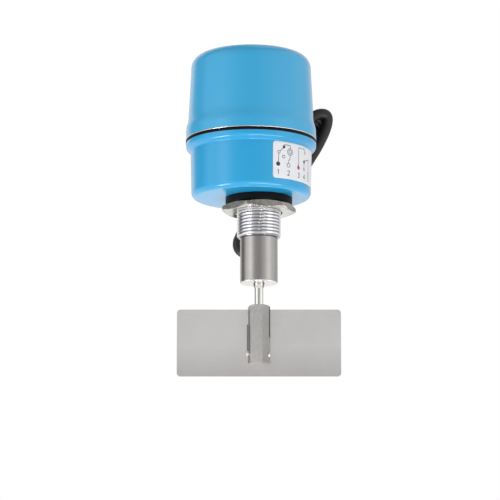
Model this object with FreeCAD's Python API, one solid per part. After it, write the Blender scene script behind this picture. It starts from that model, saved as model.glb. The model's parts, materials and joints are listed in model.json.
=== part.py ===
import FreeCAD, Part
import math
import os

from FreeCAD import Vector

# Rotary paddle level switch: a geared motor turns a paddle inside a tank; when material stops the
# paddle, the motor swings back on its pivot against a spring and works two small switches.
# Millimetres. Z runs up the drive shaft's axis. z = 0 is the plane where a tank socket meets the
# locknut's lower face, and the paddle hangs below. The housing's own axis is offset from the shaft.

# General clearances
running_gap = 0.05
bond_gap = 0.02
free_gap = 0.3
screw_hole_gap = 0.1
cut_margin = 1.0

# Drive shaft, bearings and shaft seal
shaft_r = 3.5
shaft_tip_r = 2.5
shaft_taper_length = 2.0
shaft_room = 2.5
bearing_race_thickness = 1.7
bearing_ball_space = 2.6
bearing_width = 6.0
bearing_shield_thickness = 0.6
bearing_shield_inset = 0.4
bearing_edge = 0.4
bearing_slip = 0.1
bearing_inner_race_r = shaft_r + bearing_race_thickness
bearing_outer_race_r = bearing_inner_race_r + bearing_ball_space
bearing_r = bearing_outer_race_r + bearing_race_thickness
seal_width = 4.0
seal_groove = 1.2
seal_rim_wall = 1.8
seal_lip_edge = 0.6
seal_lip_slope = 0.9
seal_lip_root = 1.3
seal_lip_back = 0.7
seal_lip_low = 0.8

# Guard tube
guard_wall = 1.9
guard_length = 28.2
guard_lip_thickness = 1.5
guard_edge = 0.5
spigot_step = 0.75
spigot_length = 12.0
guard_bore_r = bearing_r + bearing_slip
guard_r = guard_bore_r + guard_wall
guard_lip_r = shaft_r + shaft_room
spigot_r = guard_r - spigot_step
shaft_step_below_tube = 2.8

# Threaded neck, locknut and washer
neck_wall = 2.0
thread_r = guard_r + neck_wall
thread_free_length = 16.9
thread_end_chamfer = 1.0
shoulder_relief = 0.2
neck_flange_width = 9.5
neck_flange_r = thread_r + neck_flange_width
neck_flange_thickness = 3.5
neck_waist_r = shaft_r + shaft_room
nut_wall = 7.0
nut_across_flats = 2 * (thread_r + nut_wall)
nut_thickness = 4.0
nut_corner_deg = 11.5
nut_chamfer = 1.6
nut_face_inset = 0.4
washer_thickness = 4.1
washer_r = nut_across_flats / 2

# Paddle
hub_across_flats = 12.0
hub_corner_deg = -13.0
hub_gap_below_shaft_step = 9.0
hub_length = 35.7
hub_chamfer_height = 0.9
hub_chamfer_width = 0.5
hub_bore_depth = 29.0
shaft_end_gap = 1.0
blade_width = 100.0
blade_height = 41.2
blade_thickness = 1.2
blade_corner_radius = 2.2
blade_top_below_hub_top = 2.5
blade_slot_gap = 0.35
tack_r = 1.5
tack_above_hub_end = 3.5

# Motor carrier
housing_x = -4.8
motor_x = -9.0
swing_stop_deg = 3.0
output_shaft_r = 3.0
output_bore_depth = 9.0
output_end_gap = 1.0
bush_room = 0.6
bush_wall = 3.4
bush_flange_width = 2.5
bush_flange_thickness = 1.2
bush_spigot_step = 0.6
bush_tail = 3.6
bush_bore_r = output_shaft_r + bush_room
bush_r = bush_bore_r + bush_wall
bush_flange_r = bush_r + bush_flange_width
bush_spigot_r = bush_r - bush_spigot_step
clip_width = 2.0
clip_thickness = 0.8
clip_play = 0.2
clip_opening = 5.0
clip_groove_depth = 0.8
clip_r = bush_r + clip_width
clip_groove_r = bush_r - clip_groove_depth
swing_plate_thickness = 1.5
gearbox_r = 24.5
gearbox_height = 14.0
gearbox_plate = 2.0
gearbox_waist = 1.2
motor_height = 20.5
motor_inset = 0.2
motor_edge = 1.6
motor_boss_r = 4.0
motor_boss_height = 1.4
lug_reach = 3.5
lug_circle_r = gearbox_r + lug_reach
lug_degs = (135, -45)
lug_r = 3.6
shaft_joint_gap = 1.0
coupling_wall = 3.5
coupling_r = shaft_r + coupling_wall
coupling_length = 16.0
coupling_below_joint = 8.0
coupling_joint_height = 12.9
set_screw_r = 1.5
set_screw_inset = 4.0
set_screw_length = coupling_wall - screw_hole_gap
stop_pin_inset = 6.5
stop_pin_x = motor_x - gearbox_r + stop_pin_inset
stop_pin_r = 1.5
stop_pin_length = 2.7

# Base plate, posts and support plate
plate_margin = 9.5
plate_r = gearbox_r + plate_margin
base_plate_inset = 1.5
base_plate_r = plate_r - base_plate_inset
base_plate_thickness = 1.5
base_screw_inset = 5.0
base_screw_circle_r = neck_flange_r - base_screw_inset
base_screw_length = 4.5
base_screw_spare = 0.5
post_across_flats = 6.0
post_length = 25.9
post_inset = 6.0
post_circle_r = plate_r - post_inset
post_degs = (75, 195, 315)
post_tapped_depth = 8.0
support_thickness = 2.0
support_screw_grip = 6.0
stud_r = 1.5
screw_head_r = 2.8
screw_head_height = 1.8
countersink_depth = 1.3
lead_notch_deg = 50.0
lead_notch_r = 5.0
lead_notch_inset = 1.0

# Housing cup and its gasket, round the support plate
cup_wall = 2.0
cup_plate_gap = 1.2
cup_draft = 0.45
cup_top_above_plate = 0.9
cup_foot_radius = 3.5
cup_foot_inner_extra = 0.5
cup_high_r = plate_r + cup_plate_gap + cup_wall
cup_low_r = cup_high_r - cup_draft
rim_step = 2.9
rim_r = cup_high_r + rim_step
rim_height = 6.8
rim_wall = 2.6
rim_step_height = 2.8
rim_inner_step = 2.1
rim_inner_slope = 2.2
gasket_thickness = 1.8
gasket_inset = 0.5
gasket_width = 2.0
gasket_outer_r = rim_r - gasket_inset
gasket_inner_r = gasket_outer_r - gasket_width

# Bridge that the cover is screwed to
bridge_motor_gap = 4.4
bridge_post_inset = 3.5
bridge_post_y = plate_r - bridge_post_inset
bridge_end_margin = 3.0
bridge_half_length = bridge_post_y + bridge_end_margin
bridge_thickness = 2.0
bridge_width = 12.0
bridge_corner_radius = 2.4
bridge_boss_r = 5.0
bridge_boss_height = 4.0
bridge_screw_length = 6.0
cover_screw_r = 2.5
cover_screw_head_r = 5.0
cover_screw_head_height = 3.0
cover_seal_r = 6.0
cover_seal_thickness = 1.0

# Cover, over the bridge and its boss
cover_wall = 2.0
cover_boss_gap = 4.6
cover_flare = 1.6
cover_draft = 1.5
cover_shoulder_r = rim_r - cover_flare
cover_top_r = cover_shoulder_r - cover_draft
cover_shoulder_height = 14.3
cover_skirt_height = 3.8
cover_corner_radius = 8.0
cover_crown = 0.7
cover_flat_r = 7.0

# Switches and their actuating fin
switch_height = 12.8
switch_thickness = 5.8
switch_depth = 6.5
switch_above_plate = 3.5
switch_front_y = 1.8
switch_gearbox_gap = 0.7
switch_row_x = motor_x + gearbox_r + switch_gearbox_gap
switch_spacing = 0.1
switch_screw_inset = 2.8
switch_screw_from_back = 1.5
switch_screw_r = 0.95
switch_screw_head_r = 1.9
switch_screw_head_height = 1.2
switch_xs = (switch_row_x, switch_row_x + switch_thickness + switch_spacing)
switch_back_y = switch_front_y + switch_depth
terminal_length = 3.0
terminal_root = 0.5
terminal_width = 1.8
terminal_thickness = 0.5
terminal_pitch = 4.2
plunger_r = 0.9
plunger_length = 4.2
plunger_tip_radius = 0.4
plunger_bore_back_wall = 1.0
ear_x = switch_xs[1] + switch_thickness
ear_thickness = 1.2
ear_margin = 0.6
bracket_foot_y = (4.5, 12.5)
bracket_foot_x = switch_row_x + 1.8
bracket_screw_r = 1.25
bracket_screw_head_r = 2.1
bracket_screw_head_height = 1.4
bracket_screw_xs = (ear_x - 7.6, ear_x - 2.7)
bracket_screw_y = sum(bracket_foot_y) / 2
fin_thickness = 1.5
fin_x = (switch_row_x + 0.8, ear_x - 0.5)

# Return spring and its two pins
spring_x = switch_row_x + 3.3
spring_pin_y = -4.0
spring_pin_distance = 16.0
spring_anchor_y = spring_pin_y - spring_pin_distance
spring_pin_r = 1.4
spring_pin_height = 5.0
spring_collar_width = 1.0
spring_collar_height = 1.5
spring_wire_r = 0.35
spring_mean_r = 2.2
spring_turns = 8
spring_loop_r = 1.85
spring_loop_reach = 2.0
spring_centre_above_plate = 5.5
arm_y = (spring_pin_y - 2.5, 1.0)

# Cable, its grommet and the tied hank behind the housing
cable_r = 3.25
cable_exit_deg = 110.0
cable_exit_height = 13.9
cable_inside = 6.0
cable_bend_start = 72.0
grommet_wall = 2.25
grommet_neck_r = cable_r + grommet_wall
grommet_flange_r = grommet_neck_r + 2.0
grommet_flange_thickness = 2.0
grommet_tip_wall = 0.95
grommet_tip_r = cable_r + grommet_tip_wall
grommet_reach = 22.0
grommet_inside = 2.5
grommet_lip_r = grommet_neck_r + 1.1
grommet_wall_gap = 0.4
hank_x = 14.0
hank_z = 27.0
hank_lean_deg = 30.0
hank_half_run = 43.0
hank_strand_offset = 7.5
hank_fold_r = hank_strand_offset + cable_r
hank_gap = 0.7
hank_front_y = rim_r + hank_gap
hank_layers = 4
hank_depth = hank_layers * 2 * cable_r
hank_edge_radius = 3.0
tie_width = 4.5
tie_thickness = 1.2
tie_corner_r = 3.5
tie_head = 5.5
core_r = 0.75
core_count = 5
core_circle_r = 1.9

# The lead's route from the grommet up behind the cover and into the hank
lead_route = [
    (-33.6, 79.4, 31.3),
    (-35.1, 83.4, 46.2),
    (-33.5, 78.1, 60.7),
    (-26.0, 71.0, 77.0),
    (-18.0, 64.5, 89.0),
    (-5.3, 59.0, 101.7),
    (12.7, 56.0, 101.7),
    (25.4, 56.0, 89.0),
    (25.4, 56.0, 71.0),
    (19.0, 56.0, 60.0),
]

# Heights that follow from the sizes above
neck_low_z = -thread_free_length
guard_low_z = neck_low_z - guard_length
spigot_top_z = neck_low_z + spigot_length
seal_low_z = guard_low_z + guard_lip_thickness
lower_bearing_z = seal_low_z + seal_width
shaft_step_z = guard_low_z - shaft_step_below_tube
shaft_tip_z = shaft_step_z - shaft_taper_length
hub_top_z = shaft_tip_z - hub_gap_below_shaft_step
hub_low_z = hub_top_z - hub_length
blade_top_z = hub_top_z - blade_top_below_hub_top
blade_low_z = blade_top_z - blade_height
washer_low_z = nut_thickness
cup_low_z = washer_low_z + washer_thickness
cup_floor_z = cup_low_z + cup_wall
neck_top_z = cup_floor_z + neck_flange_thickness
upper_bearing_z = neck_top_z - bearing_width
base_top_z = neck_top_z + base_plate_thickness
support_low_z = base_top_z + post_length
support_top_z = support_low_z + support_thickness
cup_top_z = support_top_z + cup_top_above_plate
rim_low_z = cup_top_z - rim_height
rim_step_low_z = rim_low_z - rim_step_height
gasket_top_z = cup_top_z + gasket_thickness
swing_low_z = support_top_z + bush_flange_thickness
swing_top_z = swing_low_z + swing_plate_thickness
gearbox_top_z = swing_top_z + gearbox_height
motor_top_z = gearbox_top_z + motor_height
bridge_low_z = motor_top_z + motor_boss_height + bridge_motor_gap
bridge_top_z = bridge_low_z + bridge_thickness
boss_top_z = bridge_top_z + bridge_boss_height
cover_top_z = boss_top_z + cover_boss_gap + cover_wall
coupling_joint_z = base_top_z + coupling_joint_height
coupling_low_z = coupling_joint_z - coupling_below_joint
coupling_high_z = coupling_low_z + coupling_length
shaft_top_z = coupling_joint_z - shaft_joint_gap / 2
output_shaft_low_z = coupling_joint_z + shaft_joint_gap / 2
spring_z = support_top_z + spring_centre_above_plate
switch_low_z = swing_top_z + switch_above_plate
switch_high_z = switch_low_z + switch_height
switch_mid_z = switch_low_z + switch_height / 2
cable_exit_z = cup_low_z + cable_exit_height
shoulder_r = thread_r - shoulder_relief


def cup_r_at(z):
    """The cup's outer radius on its drafted wall."""
    foot_z = cup_low_z + cup_foot_radius
    return cup_low_r + (cup_high_r - cup_low_r) * (z - foot_z) / (rim_step_low_z - foot_z)


cup_r_at_exit = cup_r_at(cable_exit_z)


def around(radius, deg, centre_x=0.0, z=0.0):
    """The point at an angle on a circle round a vertical axis."""
    turn = math.radians(deg)
    return Vector(centre_x + radius * math.cos(turn), radius * math.sin(turn), z)


def cylinder(radius, low_z, high_z, x=0.0, y=0.0):
    return Part.makeCylinder(radius, high_z - low_z, Vector(x, y, low_z))


def bore(radius, low_z, high_z, x=0.0, y=0.0):
    """A cutter for a round hole, a little longer than the hole at both ends."""
    return cylinder(radius, low_z - cut_margin, high_z + cut_margin, x, y)


def ring(outer_r, inner_r, low_z, high_z, x=0.0, y=0.0):
    return cylinder(outer_r, low_z, high_z, x, y).cut(bore(inner_r, low_z, high_z, x, y))


def cone(low_r, high_r, low_z, high_z, x=0.0, y=0.0):
    return Part.makeCone(low_r, high_r, high_z - low_z, Vector(x, y, low_z))


def box(low, high):
    size = [b - a for a, b in zip(low, high)]
    return Part.makeBox(size[0], size[1], size[2], Vector(*low))


def prism(points, low_z, high_z):
    """A vertical prism over a polygon of (x, y) points."""
    loop = [Vector(x, y, low_z) for x, y in points]
    face = Part.Face(Part.makePolygon(loop + [loop[0]]))
    return face.extrude(Vector(0, 0, high_z - low_z))


def hexagon(across_flats, corner_deg, low_z, high_z, x=0.0, y=0.0):
    corner_r = across_flats / math.sqrt(3)
    corners = [around(corner_r, corner_deg + 60 * k, x) for k in range(6)]
    return prism([(p.x, p.y + y) for p in corners], low_z, high_z)


def revolved(outline, x=0.0):
    """Turns an outline of (r, z) steps round a vertical axis; ("arc", through, end) is a curve."""
    edges = []
    here = outline[0]
    for step in list(outline[1:]) + [outline[0]]:
        if step[0] == "arc":
            points = [Vector(x + r, 0, z) for r, z in (here, step[1], step[2])]
            edges.append(Part.Arc(*points).toShape())
            here = step[2]
        elif step != here:
            start = Vector(x + here[0], 0, here[1])
            end = Vector(x + step[0], 0, step[1])
            edges.append(Part.LineSegment(start, end).toShape())
            here = step
    face = Part.Face(Part.Wire(edges))
    return face.revolve(Vector(x, 0, 0), Vector(0, 0, 1), 360)


def corner_arc(centre, radius, start_deg, end_deg):
    """An arc step about a corner's centre, for revolved()."""
    middle = math.radians((start_deg + end_deg) / 2)
    last = math.radians(end_deg)
    through = (centre[0] + radius * math.cos(middle), centre[1] + radius * math.sin(middle))
    end = (centre[0] + radius * math.cos(last), centre[1] + radius * math.sin(last))
    return ("arc", through, end)


def path_through(points):
    """Straight runs joined by tangent arcs, each as large as its two runs allow."""
    corners = [Vector(*p) for p in points]
    edges = []
    radii = []
    here = corners[0]
    for before, corner, after in zip(corners, corners[1:], corners[2:]):
        back = (before - corner).normalize()
        ahead = (after - corner).normalize()
        half_turn = (math.pi - back.getAngle(ahead)) / 2
        trim = 0.45 * min((before - corner).Length, (after - corner).Length)
        radius = trim / math.tan(half_turn)
        start = corner + back * trim
        end = corner + ahead * trim
        bisector = (back + ahead).normalize()
        middle = corner + bisector * (radius / math.cos(half_turn) - radius)
        edges.append(Part.LineSegment(here, start).toShape())
        edges.append(Part.Arc(start, middle, end).toShape())
        radii.append(radius)
        here = end
    edges.append(Part.LineSegment(here, corners[-1]).toShape())
    return Part.Wire(edges), radii


def tube_along(points, radius):
    """A solid round tube along a route, with its arc radii and centreline length."""
    path, radii = path_through(points)
    start = Vector(*points[0])
    heading = Vector(*points[1]) - start
    section = Part.Wire(Part.makeCircle(radius, start, heading))
    solid = path.makePipeShell([section], True, False)
    return solid, radii, path.Length


def pan_screw(x, y, seat_z, head_r, head_height, shank_r, length):
    """A screw whose domed head stands on seat_z and whose shank goes down."""
    edge = head_height / 2
    outline = [
        (0, seat_z - length),
        (shank_r, seat_z - length),
        (shank_r, seat_z),
        (head_r, seat_z),
        (head_r, seat_z + edge),
        ("arc", (head_r - 0.3 * edge, seat_z + 1.7 * edge), (head_r - edge, seat_z + head_height)),
        (0, seat_z + head_height),
    ]
    screw = revolved(outline)
    screw.translate(Vector(x, y, 0))
    return screw


def hex_post(x, y, low_z, high_z, plate_thickness, tapped_depth):
    """A standoff with a riveted foot stud through the plate below and a tapped top end."""
    post = hexagon(post_across_flats, 0, low_z, high_z, x, y)
    post = post.fuse(cylinder(stud_r, low_z - plate_thickness, low_z, x, y))
    return post.cut(cylinder(stud_r + running_gap, high_z - tapped_depth, high_z + cut_margin, x, y))


def rubber_washer():
    return ring(washer_r, thread_r + free_gap, washer_low_z, cup_low_z)


def locknut():
    """A thin hexagon nut whose lower corners are turned off by a shallow cone."""
    nut = hexagon(nut_across_flats, nut_corner_deg, 0, nut_thickness)
    face_r = nut_across_flats / 2 - nut_face_inset
    corner_r = nut_across_flats / math.sqrt(3)
    turned = cone(face_r, corner_r, 0, nut_chamfer)
    turned = turned.fuse(cylinder(corner_r, nut_chamfer, nut_thickness))
    return nut.common(turned).cut(bore(thread_r + running_gap, 0, nut_thickness))


def neck():
    """Threaded neck: inner flange, relieved shoulder, free thread, spigot bore and bearing seat."""
    return revolved([
        (neck_waist_r, spigot_top_z),
        (spigot_r + running_gap, spigot_top_z),
        (spigot_r + running_gap, neck_low_z),
        (thread_r - thread_end_chamfer, neck_low_z),
        (thread_r, neck_low_z + thread_end_chamfer),
        (thread_r, 0),
        (shoulder_r, 0),
        (shoulder_r, cup_floor_z),
        (neck_flange_r, cup_floor_z),
        (neck_flange_r, neck_top_z),
        (bearing_r + bond_gap, neck_top_z),
        (bearing_r + bond_gap, upper_bearing_z),
        (neck_waist_r, upper_bearing_z),
    ]).cut(base_screw_cutters(running_gap))


def base_screw_cutters(gap):
    low_z = base_top_z - base_screw_length - base_screw_spare
    holes = [
        cylinder(stud_r + gap, low_z, base_top_z + cut_margin, p.x, p.y)
        for p in base_screw_points()
    ]
    return holes[0].multiFuse(holes[1:])


def base_screw_points():
    return [around(base_screw_circle_r, 30 + 120 * k) for k in range(3)]


def housing_cup():
    """Round cup with a flared rim band, a hole in its floor for the neck and one for the cable."""
    foot = (cup_low_r - cup_foot_radius, cup_low_z + cup_foot_radius)
    inner_foot_radius = cup_foot_radius - cup_wall + cup_foot_inner_extra
    inner_foot_z = cup_floor_z + inner_foot_radius
    inner_foot = (cup_r_at(inner_foot_z) - cup_wall - inner_foot_radius, inner_foot_z)
    step_low_z = rim_step_low_z
    step_mid_r = (cup_high_r + rim_r) / 2
    inner_high_z = rim_low_z + rim_inner_step
    inner_low_z = inner_high_z - rim_inner_slope
    cup = revolved([
        (0, cup_low_z),
        (foot[0], cup_low_z),
        corner_arc(foot, cup_foot_radius, -90, 0),
        (cup_high_r, step_low_z),
        ("arc", (cup_high_r + 0.45, step_low_z + 1.0), (step_mid_r, rim_low_z - 1.1)),
        ("arc", (rim_r - 0.4, rim_low_z - 0.1), (rim_r, rim_low_z + 1.2)),
        (rim_r, cup_top_z),
        (rim_r - rim_wall, cup_top_z),
        (rim_r - rim_wall, inner_high_z),
        (cup_r_at(inner_low_z) - cup_wall, inner_low_z),
        (cup_r_at(inner_foot[1]) - cup_wall, inner_foot[1]),
        corner_arc(inner_foot, inner_foot_radius, 0, -90),
        (0, cup_floor_z),
    ], housing_x)
    cup = cup.cut(bore(shoulder_r + screw_hole_gap, cup_low_z, cup_floor_z))
    return cup.cut(along_exit(grommet_neck_r, cup_r_at_exit - 2 * cup_wall, cup_r_at_exit + cup_wall))


def cover_gasket():
    """Flat ring between the rim and the cover, with slightly rounded lips."""
    return ring(gasket_outer_r, gasket_inner_r, cup_top_z, gasket_top_z, housing_x)


def cover_outline(inset):
    """The cover's outer outline, or its inner one when inset by the wall."""
    shoulder_z = gasket_top_z + cover_shoulder_height
    skirt_z = gasket_top_z + cover_skirt_height
    top_z = cover_top_z - inset
    edge_z = top_z - cover_crown
    corner_radius = cover_corner_radius - inset
    corner = (cover_top_r - inset - corner_radius, edge_z - corner_radius)
    flare_mid = ((rim_r + cover_shoulder_r) / 2 - inset, (skirt_z + shoulder_z) / 2 - 0.6)
    outline = [(rim_r - inset, gasket_top_z), (rim_r - inset, skirt_z)]
    outline.append(("arc", (rim_r - 0.18 - inset, skirt_z + 2.3), flare_mid))
    flare_high = (cover_shoulder_r + 0.22 - inset, shoulder_z - 3.1)
    outline.append(("arc", flare_high, (cover_shoulder_r - inset, shoulder_z)))
    outline.append((cover_top_r - inset, corner[1]))
    outline.append(corner_arc(corner, corner_radius, 0, 90))
    outline.append(("arc", (corner[0] * 0.62, top_z - cover_crown * 0.3), (cover_flat_r, top_z)))
    outline.append((0, top_z))
    return outline


def cover():
    """Deep moulded cap: flared skirt, slight draft, rounded top edge and a crowned top."""
    outer = revolved(cover_outline(0) + [(0, gasket_top_z)], housing_x)
    inner = revolved(cover_outline(cover_wall) + [(0, gasket_top_z)], housing_x)
    hole = bore(cover_screw_r + free_gap, cover_top_z - cover_wall, cover_top_z, housing_x)
    return outer.cut(inner).cut(hole)


def cover_seal():
    top_z = cover_top_z + cover_seal_thickness
    return ring(cover_seal_r, cover_screw_r + bond_gap, cover_top_z, top_z, housing_x)


def cover_screw():
    seat_z = cover_top_z + cover_seal_thickness
    length = seat_z - bridge_low_z
    return pan_screw(
        housing_x, 0, seat_z, cover_screw_head_r, cover_screw_head_height, cover_screw_r, length
    )


def guard_tube():
    """Stainless tube pressed into the neck, with a lip that holds the shaft seal."""
    return revolved([
        (guard_lip_r, guard_low_z),
        (guard_r - guard_edge, guard_low_z),
        (guard_r, guard_low_z + guard_edge),
        (guard_r, neck_low_z),
        (spigot_r, neck_low_z),
        (spigot_r, spigot_top_z),
        (guard_bore_r, spigot_top_z),
        (guard_bore_r, seal_low_z),
        (guard_lip_r, seal_low_z),
    ])


def shaft_seal():
    """Lip seal: a ring with a groove open to the dry side."""
    inner_r = shaft_r + running_gap
    outer_r = guard_bore_r - bond_gap
    top_z = seal_low_z + seal_width
    return revolved([
        (inner_r, seal_low_z + seal_lip_edge),
        (inner_r + seal_lip_slope, seal_low_z),
        (outer_r, seal_low_z),
        (outer_r, top_z),
        (outer_r - seal_rim_wall, top_z),
        (outer_r - seal_rim_wall, seal_low_z + seal_groove),
        (inner_r + seal_lip_root, seal_low_z + seal_groove),
        (inner_r + seal_lip_back, top_z - seal_lip_low),
        (inner_r, top_z - seal_lip_low - 1),
    ])


def bearing_outer(low_z):
    """Outer race with its two shields, whose inner edges run close to the inner race."""
    top_z = low_z + bearing_width
    ring_outline = [
        (bearing_outer_race_r, low_z),
        (bearing_r - bearing_edge, low_z),
        (bearing_r, low_z + bearing_edge),
        (bearing_r, top_z - bearing_edge),
        (bearing_r - bearing_edge, top_z),
        (bearing_outer_race_r, top_z),
    ]
    race = revolved(ring_outline)
    shield_r = bearing_inner_race_r + free_gap
    low = low_z + bearing_shield_inset
    high = top_z - bearing_shield_inset
    lower = ring(bearing_outer_race_r, shield_r, low, low + bearing_shield_thickness)
    upper = ring(bearing_outer_race_r, shield_r, high - bearing_shield_thickness, high)
    return race.multiFuse([lower, upper]).removeSplitter()


def bearing_inner(low_z):
    return ring(bearing_inner_race_r, shaft_r + bond_gap, low_z, low_z + bearing_width)


def base_plate():
    """Disc that clamps the neck flange to the cup floor and carries the posts."""
    plate = cylinder(base_plate_r, neck_top_z, base_top_z, housing_x)
    plate = plate.cut(bore(bearing_outer_race_r, neck_top_z, base_top_z))
    plate = plate.cut(base_screw_cutters(screw_hole_gap))
    for p in post_points():
        plate = plate.cut(bore(stud_r + bond_gap, neck_top_z, base_top_z, p.x, p.y))
    return plate


def base_screws():
    return [
        pan_screw(p.x, p.y, base_top_z, screw_head_r, screw_head_height, stud_r, base_screw_length)
        for p in base_screw_points()
    ]


def post_points():
    return [around(post_circle_r, deg, housing_x) for deg in post_degs]


def plate_posts():
    return [
        hex_post(p.x, p.y, base_top_z, support_low_z, base_plate_thickness, post_tapped_depth)
        for p in post_points()
    ]


def bridge_post_points():
    return [Vector(housing_x, side * bridge_post_y, 0) for side in (-1, 1)]


def support_plate():
    """Upper disc with the pivot bore, stop slot, lead notch and holes for posts and screws."""
    notch = around(plate_r - lead_notch_inset, lead_notch_deg, housing_x)
    holes = [
        (bush_r + running_gap, 0, 0),
        (lead_notch_r, notch.x, notch.y),
        (spring_pin_r + bond_gap, spring_x, spring_anchor_y),
    ]
    holes += [(stud_r + screw_hole_gap, p.x, p.y) for p in post_points()]
    holes += [(stud_r + bond_gap, p.x, p.y) for p in bridge_post_points()]
    holes += [(bracket_screw_r + running_gap, x, bracket_screw_y) for x in bracket_screw_xs]
    plate = cylinder(plate_r, support_low_z, support_top_z, housing_x)
    plate = plate.cut(stop_slot(support_low_z - cut_margin, support_top_z + cut_margin))
    for radius, x, y in holes:
        plate = plate.cut(bore(radius, support_low_z, support_top_z, x, y))
    sink_z = support_top_z - countersink_depth
    low_r = stud_r + screw_hole_gap
    high_r = screw_head_r + screw_hole_gap
    for p in post_points():
        plate = plate.cut(cone(low_r, high_r, sink_z, support_top_z, p.x, p.y))
    return plate


def stop_slot(low, high):
    """The slot that limits the carrier's swing, round the pin's path."""
    slot_r = stop_pin_r + free_gap
    travel = -stop_pin_x * math.radians(swing_stop_deg)
    slot = cylinder(slot_r, low, high, stop_pin_x)
    slot = slot.fuse(cylinder(slot_r, low, high, stop_pin_x, -travel))
    return slot.fuse(box((stop_pin_x - slot_r, -travel, low), (stop_pin_x + slot_r, 0, high)))


def support_screws():
    """Countersunk screws, flush with the support plate."""
    screws = []
    for p in post_points():
        sink_z = support_top_z - countersink_depth
        screw = cylinder(stud_r, support_low_z - support_screw_grip, sink_z, p.x, p.y)
        screws.append(screw.fuse(cone(stud_r, screw_head_r, sink_z, support_top_z, p.x, p.y)))
    return screws


def bridge_posts():
    return [
        hex_post(p.x, p.y, support_top_z, bridge_low_z, support_thickness, post_tapped_depth)
        for p in bridge_post_points()
    ]


def cover_bridge():
    """Bar over the motor with a tapped boss for the cover's screw."""
    half = bridge_width / 2
    bar = box(
        (housing_x - half, -bridge_half_length, bridge_low_z),
        (housing_x + half, bridge_half_length, bridge_top_z),
    )
    bar = bar.makeFillet(bridge_corner_radius, [e for e in bar.Edges if is_vertical(e)])
    bar = bar.fuse(cylinder(bridge_boss_r, bridge_top_z, boss_top_z, housing_x))
    bar = bar.cut(bore(cover_screw_r + running_gap, bridge_low_z, boss_top_z, housing_x))
    for p in bridge_post_points():
        bar = bar.cut(bore(stud_r + screw_hole_gap, bridge_low_z, bridge_top_z, p.x, p.y))
    return bar


def is_vertical(edge):
    ends = [v.Point for v in edge.Vertexes]
    return len(ends) == 2 and abs((ends[1] - ends[0]).normalize().z) > 0.99


def bridge_screws():
    return [
        pan_screw(
            p.x, p.y, bridge_top_z, screw_head_r, screw_head_height, stud_r,
            bridge_thickness + bridge_screw_length,
        )
        for p in bridge_post_points()
    ]


def drive_shaft():
    """Shaft from the coupling down through both bearings, tapering to the hub's bore."""
    return revolved([
        (0, hub_top_z - hub_bore_depth + shaft_end_gap),
        (shaft_tip_r, hub_top_z - hub_bore_depth + shaft_end_gap),
        (shaft_tip_r, shaft_tip_z),
        (shaft_r, shaft_step_z),
        (shaft_r, shaft_top_z),
        (0, shaft_top_z),
    ])


def output_shaft():
    top_z = swing_top_z + output_bore_depth - output_end_gap
    return cylinder(output_shaft_r, output_shaft_low_z, top_z)


def drive_coupling():
    """Sleeve that joins the motor's output shaft to the drive shaft, with two set screws."""
    low_bore = cylinder(shaft_r + bond_gap, coupling_low_z - cut_margin, coupling_joint_z)
    high_bore = cylinder(output_shaft_r + bond_gap, coupling_joint_z, coupling_high_z + cut_margin)
    sleeve = cylinder(coupling_r, coupling_low_z, coupling_high_z).cut(low_bore).cut(high_bore)
    for z in set_screw_heights():
        start = Vector(0, 0, z)
        hole_r = set_screw_r + bond_gap
        sleeve = sleeve.cut(Part.makeCylinder(hole_r, 2 * coupling_r, start, Vector(0, 1, 0)))
    return sleeve


def set_screw_heights():
    return (coupling_low_z + set_screw_inset, coupling_high_z - set_screw_inset)


def coupling_screws():
    shafts = (shaft_r, output_shaft_r)
    return [
        Part.makeCylinder(set_screw_r, set_screw_length, Vector(0, r + bond_gap, z), Vector(0, 1, 0))
        for z, r in zip(set_screw_heights(), shafts)
    ]


def paddle_hub():
    """Hexagon bar with a turned top end and a blind bore for the shaft."""
    bar = hexagon(hub_across_flats, hub_corner_deg, hub_low_z, hub_top_z)
    corner_r = hub_across_flats / math.sqrt(3)
    face_r = hub_across_flats / 2 - hub_chamfer_width
    slope = hub_chamfer_height / (corner_r - face_r)
    cone_top = cone(corner_r, face_r, hub_top_z - hub_chamfer_height, hub_top_z)
    envelope = cone_top.fuse(
        cylinder(corner_r + slope, hub_low_z - cut_margin, hub_top_z - hub_chamfer_height)
    )
    bar = bar.common(envelope)
    bore_low_z = hub_top_z - hub_bore_depth
    return bar.cut(cylinder(shaft_tip_r + bond_gap, bore_low_z, hub_top_z + cut_margin))


def paddle_blade():
    """Flat plate with rounded corners and a slot from its top edge that the hub stands in."""
    half = blade_width / 2
    thick = blade_thickness / 2
    plate = box((-half, -thick, blade_low_z), (half, thick, blade_top_z))
    edges = [e for e in plate.Edges if is_along_y(e)]
    plate = plate.makeFillet(blade_corner_radius, edges)
    slot_half = hub_half_width_at_blade() + blade_slot_gap
    deep = thick + cut_margin
    slot = box((-slot_half, -deep, hub_low_z), (slot_half, deep, blade_top_z + cut_margin))
    return plate.cut(slot)


def hub_half_width_at_blade():
    """Half the hub's width where the blade's plane cuts it."""
    face_turn = math.radians(abs(abs(hub_corner_deg) - 30))
    return hub_across_flats / 2 / math.cos(face_turn)


def is_along_y(edge):
    ends = [v.Point for v in edge.Vertexes]
    return len(ends) == 2 and abs((ends[1] - ends[0]).normalize().y) > 0.99


def weld_tacks():
    """Two small welds that hold the hub in the blade's slot."""
    tacks = []
    hub = paddle_hub()
    blade = paddle_blade()
    for side in (-1, 1):
        x = side * (hub_half_width_at_blade() + blade_slot_gap / 2)
        centre = Vector(x, -blade_thickness / 2, hub_low_z + tack_above_hub_end)
        tack = Part.makeSphere(tack_r, centre).cut(hub).cut(blade)
        tacks.append(largest_solid(tack))
    return tacks


def largest_solid(shape):
    return max(shape.Solids, key=lambda s: s.Volume)


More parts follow.
